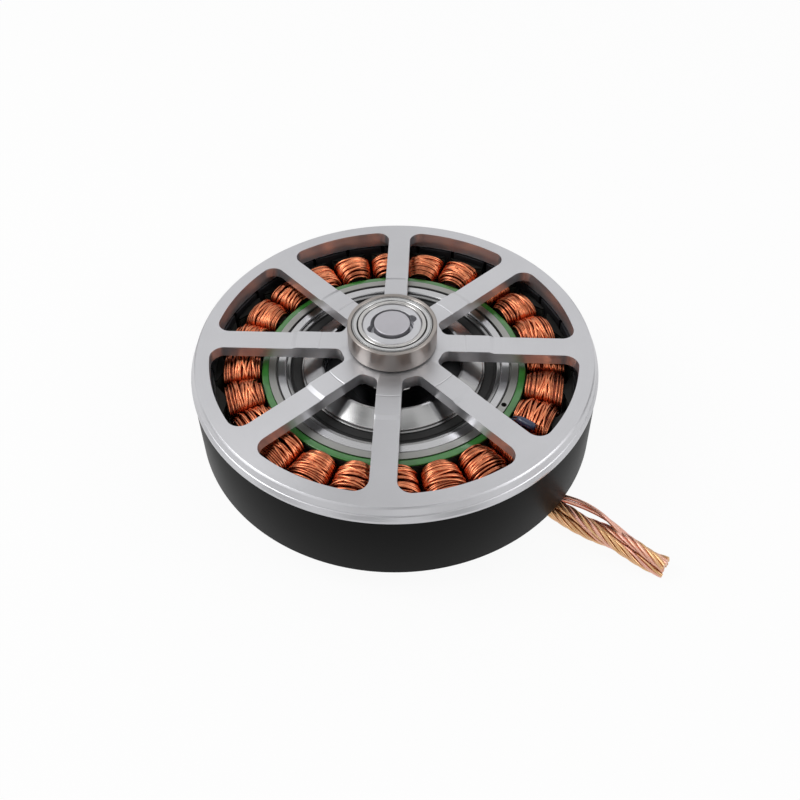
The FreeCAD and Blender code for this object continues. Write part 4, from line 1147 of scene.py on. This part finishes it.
class ACTUATOR_OT_main_bearing(bpy.types.Operator):
    """Main bearing of the carrier and the dished ring that clamps it"""
    bl_idname = "actuator.main_bearing"
    bl_label = "Main bearing"

    def execute(self, context):
        make_races("main", MAIN_RING_WALL, (
            ("outer", "main_race_steel", "stator"),
            ("inner", "main_race_steel", "carrier")))
        make_shields("main_seals", "main_bearing_seals",
                     reach("main_bearing_inner_ring") + SEAL_GAP,
                     reach("main_bearing_outer_ring") - MAIN_RING_WALL,
                     "bearing_seal", "stator")
        ceiling = top("main_bearing_outer_ring")
        lock = "bearing_lock_ring"
        ring = lathe("lock_ring_turned", (
            (LOCK_BORE, low(lock)),
            (LOCK_SPIGOT, low(lock)),
            (LOCK_SPIGOT, ceiling),
            (reach(lock), ceiling),
            (reach(lock), ceiling + LOCK_EDGE),
            (LOCK_BORE + LOCK_LIP, top(lock)),
            (LOCK_BORE, top(lock)),
        ), FINISHES["lock_ring_steel"], DISC_CORNER)
        settle(ring, "carrier", "bearing_steel", lock)
        return {"FINISHED"}


# ---- stator

# How unevenly the wire lies, in millimetres.
WIRE_LEAN = 0.3
WIRE_SLACK = 0.16
CROSSING_DRIFT = (0.4, 2.2)
CROSSING_LIFT = (0.08, 0.30)

# Tones between the coils' painted shade colour (0) and painted highlight colour (1): wound
# turns sit midway, the crossing turns on top get paler tones, partly painted highlight, and the
# pack under them gets 0, painted shade.
WOUND_TONE = 0.55
CROSSING_HIGHLIGHT_TONES = (0.6, 1.0)
CROSSING_MARGIN = 1.4 * MM
CROSSING_DIP = 0.5 * MM
CROSSING_STEP = 0.35 * MM
PACK_HOLE = (1.2 * MM, 1.5 * MM, 0.3 * MM)


def stadium(half_width, half_height, crown, steps):
    """A tall loop with rounded ends, as (across, up) points from the right side."""
    out = []
    for sign in (1, -1):
        for step in range(steps + 1):
            turn = math.pi * step / steps
            out.append((half_width * math.cos(turn) * sign,
                        (half_height - crown + crown * math.sin(turn)) * sign))
    return out


def coil_half_width(coils, radius):
    """Half of a coil's width at a radius, so that it clears its neighbour."""
    return radius * math.tan(math.pi / SLOTS) - coils.gap


def wound_turns(coils, middle, half_height, chance):
    """One layer of wire round a tooth, as points along it."""
    steps = 12
    lead_in = coils.inner + coils.wire * 0.6
    pitch = (coils.outer - coils.inner - coils.wire * 1.2) / (coils.turns - 1)
    inset = coils.wire / 2
    points = []
    for turn in range(coils.turns):
        lean = chance.uniform(-WIRE_LEAN, WIRE_LEAN) * MM
        from_middle = abs(2 * turn / (coils.turns - 1) - 1)
        slack = chance.uniform(0.0, WIRE_SLACK) * MM + coils.barrel * from_middle ** 3
        loop = stadium(1.0, half_height - inset - slack, coils.crown, steps)
        for k, (across, up) in enumerate(loop):
            gone = (turn + k / len(loop)) * pitch
            radius = min(max(lead_in + gone + lean * up / half_height, lead_in),
                         coils.outer - inset)
            width = coil_half_width(coils, radius) - inset - slack * 0.6
            points.append(Vector((radius, across * width, middle + up)))
    return points


def crossing_turn(coils, middle, half_height, chance):
    """A loose turn that lies across the crown of a coil."""
    steps = 16
    start = chance.uniform(coils.inner + CROSSING_MARGIN, coils.outer - CROSSING_MARGIN)
    drift = chance.choice((-1, 1)) * chance.uniform(*CROSSING_DRIFT) * MM
    lift = chance.uniform(*CROSSING_LIFT) * MM
    points = []
    for step in range(-4, steps + 5):
        share_gone = min(max(step / steps, 0.0), 1.0)
        turn = math.pi * share_gone
        radius = start + drift * (share_gone - 0.5)
        radius = min(max(radius, coils.inner + coils.wire), coils.outer - coils.wire)
        past = max(-step, step - steps, 0)
        swell = lift * math.sin(turn) - CROSSING_DIP * (past / 4) ** 2
        width = coil_half_width(coils, radius) - coils.wire / 2 + min(swell, 0.0)
        height = half_height - coils.wire / 2 + swell
        up = height - coils.crown + coils.crown * math.sin(turn) - past * CROSSING_STEP
        points.append(Vector((radius, width * math.cos(turn), middle + up)))
    return points


def coil_pack(coils, middle, half_height):
    """The wound mass under the outer turns, open where the tooth goes through."""
    steps = 10
    inset = coils.wire * 0.85
    hole_half_width, winding_depth, hole_corner = PACK_HOLE
    verts, faces = [], []
    size = 2 * (steps + 1)
    for radius in (coils.inner + coils.wire, coils.outer - coils.wire):
        width = coil_half_width(coils, radius) - inset
        loops = (stadium(width, half_height - inset - coils.barrel, coils.crown, steps),
                 stadium(hole_half_width, half_height - winding_depth, hole_corner, steps))
        for loop in loops:
            verts += [Vector((radius, across, middle + up)) for across, up in loop]
    for k in range(size):
        after = (k + 1) % size
        inner_outer, inner_hole, outer_outer, outer_hole = (size * n for n in range(4))
        for one, two in ((inner_outer, outer_outer), (outer_hole, inner_hole),
                         (inner_hole, inner_outer), (outer_outer, outer_hole)):
            faces.append([one + k, one + after, two + after, two + k])
    return verts, faces


def make_phase(coils, phase, name, node):
    """The eight coils of one phase."""
    middle = (top("stator_core") + low("stator_core")) / 2
    half_height = top(node) - middle
    parts = []
    for tooth in range(SLOTS):
        if tooth // 2 % PHASES != phase:
            continue
        chance = random.Random(100 + tooth)
        turn = coils.first + TURN * tooth / SLOTS
        wires = [wound_turns(coils, middle, half_height, chance)]
        wires += [crossing_turn(coils, middle, half_height, chance)
                  for _ in range(coils.over)]
        verts, faces = coil_pack(coils, middle, half_height)
        # The pack under the turns gets tone 0: painted shade.
        parts.append(((turned_about_z(verts, turn), faces), 0.0))
        for k, wire in enumerate(wires):
            verts, faces = tube(wire, coils.wire / 2, 7, (1, 0, 0))
            # Crossing turns on top get pale tones, partly painted highlight; wound turns get
            # the mid tone.
            tone = chance.uniform(*CROSSING_HIGHLIGHT_TONES) if k else WOUND_TONE
            parts.append(((turned_about_z(verts, turn), faces), tone))
    settle(tinted_piece(name, parts, "copper_wire", 60.0), "stator", "copper_wire", node)


class ACTUATOR_OT_windings(bpy.types.Operator):
    """Three phases of enamelled wire, wound turn by turn"""
    bl_idname = "actuator.windings"
    bl_label = "Windings"

    def execute(self, context):
        for phase, letter in enumerate("abc"):
            make_phase(context.scene.actuator_coils, phase, "coil_wires_" + letter,
                       "windings_phase_" + letter)
        return {"FINISHED"}


STACK_BORE = 21.4 * MM
TOOTH_HALF = 1.1 * MM
SHOE_REACH = 1.5 * MM
SLOT_HALF_OPENING = 0.75 * MM
SHOE_DEPTH = 1.35 * MM
SHOE_EDGE = 0.3 * MM
RING_INSET = 0.15 * MM
TOOTH_INSET = 0.1 * MM
TOOTH_SINK = 0.04 * MM
COAT_CORNER = 0.18 * MM
BEAD_RADIUS = 0.7 * MM
BEAD_HALF = 1.7 * MM
BEAD_CORNER = 0.3 * MM
TAIL_RADIUS = 0.13 * MM
TAIL_SPREAD = 0.3
TAIL_LINE = ((-1.4, 0.0), (-1.9, -0.05), (-2.4, -0.4), (-2.6, -1.1))


def toothed_outline(coils):
    """Half of one tooth and its shoe, from the axis of the tooth, as (x, y) points."""
    yoke = coils.inner - TOOTH_INSET
    tip = coils.outer + SHOE_REACH
    shoe_half = tip * math.tan(math.pi / SLOTS) - SLOT_HALF_OPENING
    shoe_face = math.sqrt(tip ** 2 - shoe_half ** 2)
    lower = [(yoke, -TOOTH_HALF), (tip - SHOE_DEPTH, -TOOTH_HALF),
             (shoe_face - SHOE_EDGE, -shoe_half), (shoe_face, -shoe_half)]
    return lower + [(tip, 0.0)] + [(x, -y) for x, y in reversed(lower)]


def make_insulator(coils):
    """Green coated ring round the end of the stack, and the ends of its dark teeth."""
    node = "upper_insulator"
    ring = lathe_data(soften((
        (STACK_BORE, low(node)),
        (coils.inner - RING_INSET, low(node)),
        (coils.inner - RING_INSET, top(node)),
        (STACK_BORE, top(node)),
    ), COAT_CORNER, 4))
    piece = new_piece("insulator_coated", *ring, FINISHES["green_insulation"])
    settle(piece, "stator", "green_insulation", node)
    parts = []
    for tooth in range(SLOTS):
        verts, faces = prism(toothed_outline(coils), low(node), top(node) - TOOTH_SINK)
        parts.append((turned_about_z(verts, coils.first + TURN * tooth / SLOTS), faces))
    shoes = new_piece("tooth_shoes", *merged(parts), FINISHES["tooth_shoes"])
    settle(shoes, "stator", "lamination_steel")


def make_bead():
    """Temperature bead with its two thin tails."""
    low_corner, high_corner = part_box("temperature_sensor")
    middle = (low_corner + high_corner) / 2
    heading = math.atan2(middle.y, middle.x)
    verts, faces = lathe_data(soften((
        (0.0, -BEAD_HALF),
        (BEAD_RADIUS * 0.7, -BEAD_HALF * 0.93),
        (BEAD_RADIUS, -BEAD_HALF * 0.55),
        (BEAD_RADIUS, BEAD_HALF * 0.55),
        (BEAD_RADIUS * 0.7, BEAD_HALF * 0.93),
        (0.0, BEAD_HALF),
    ), BEAD_CORNER, 4, closed=False), False, 48)
    lay = Matrix.Rotation(heading, 3, "Z") @ Matrix.Rotation(math.pi / 2, 3, "Y")
    parts = [([lay @ v + middle for v in verts], faces)]
    spin = Matrix.Rotation(heading, 3, "Z")
    for side in (-TAIL_SPREAD, TAIL_SPREAD):
        tail = [spin @ Vector((x * MM, side * MM, z * MM)) + middle
                for x, z in TAIL_LINE]
        parts.append(tube(tail, TAIL_RADIUS, 8))
    piece = new_piece("temperature_bead", *merged(parts), FINISHES["sensor_epoxy"])
    settle(piece, "stator", "sensor_epoxy", "temperature_sensor")


class ACTUATOR_OT_stator(bpy.types.Operator):
    """Coated end of the stack and the temperature bead"""
    bl_idname = "actuator.stator"
    bl_label = "Stator"

    def execute(self, context):
        make_insulator(context.scene.actuator_coils)
        make_bead()
        return {"FINISHED"}


# ---- the rest of the nodes

class ACTUATOR_OT_finishes(bpy.types.Operator):
    """Finish every piece that is shown as it was built"""
    bl_idname = "actuator.finishes"
    bl_label = "Other finishes"

    def execute(self, context):
        slots = {part["node"]: part["material_slot"]
                 for part in frame["record"]["subparts"]}
        for name, node in frame["nodes"].items():
            if node.hide_render:
                continue
            for held in node.material_slots:
                held.material = FINISHES.get(name, FINISHES[slots[name]])
        return {"FINISHED"}


# ---- panel and registration

STEPS = (
    ACTUATOR_OT_stage,
    ACTUATOR_OT_leads,
    ACTUATOR_OT_rotor,
    ACTUATOR_OT_hub,
    ACTUATOR_OT_main_bearing,
    ACTUATOR_OT_windings,
    ACTUATOR_OT_stator,
    ACTUATOR_OT_finishes,
)


class ACTUATOR_PT_panel(bpy.types.Panel):
    """Sizes, colours and steps of the joint actuator"""
    bl_label = "Joint actuator"
    bl_idname = "ACTUATOR_PT_panel"
    bl_space_type = "VIEW_3D"
    bl_region_type = "UI"
    bl_category = "Actuator"

    def draw(self, context):
        for name, group in GROUPS.items():
            box = self.layout.box()
            box.label(text=group.__doc__)
            for prop in group.__annotations__:
                box.prop(getattr(context.scene, name), prop)
        for step in STEPS:
            self.layout.operator(step.bl_idname)


def register():
    """Make the groups, the operators and the panel known."""
    for group in GROUPS.values():
        bpy.utils.register_class(group)
    for name, group in GROUPS.items():
        setattr(bpy.types.Scene, name, bpy.props.PointerProperty(type=group))
    for step in STEPS:
        bpy.utils.register_class(step)
    bpy.utils.register_class(ACTUATOR_PT_panel)


def unregister():
    """Take them away again."""
    bpy.utils.unregister_class(ACTUATOR_PT_panel)
    for step in reversed(STEPS):
        bpy.utils.unregister_class(step)
    for name in GROUPS:
        delattr(bpy.types.Scene, name)
    for group in reversed(GROUPS.values()):
        bpy.utils.unregister_class(group)


def main():
    """Dress the part step by step."""
    register()
    make_finishes(bpy.context.scene.actuator_colours)
    bpy.ops.actuator.stage()
    bpy.ops.actuator.leads()
    bpy.ops.actuator.rotor()
    bpy.ops.actuator.hub()
    bpy.ops.actuator.main_bearing()
    bpy.ops.actuator.windings()
    bpy.ops.actuator.stator()
    bpy.ops.actuator.finishes()


if __name__ == "__main__":
    main()
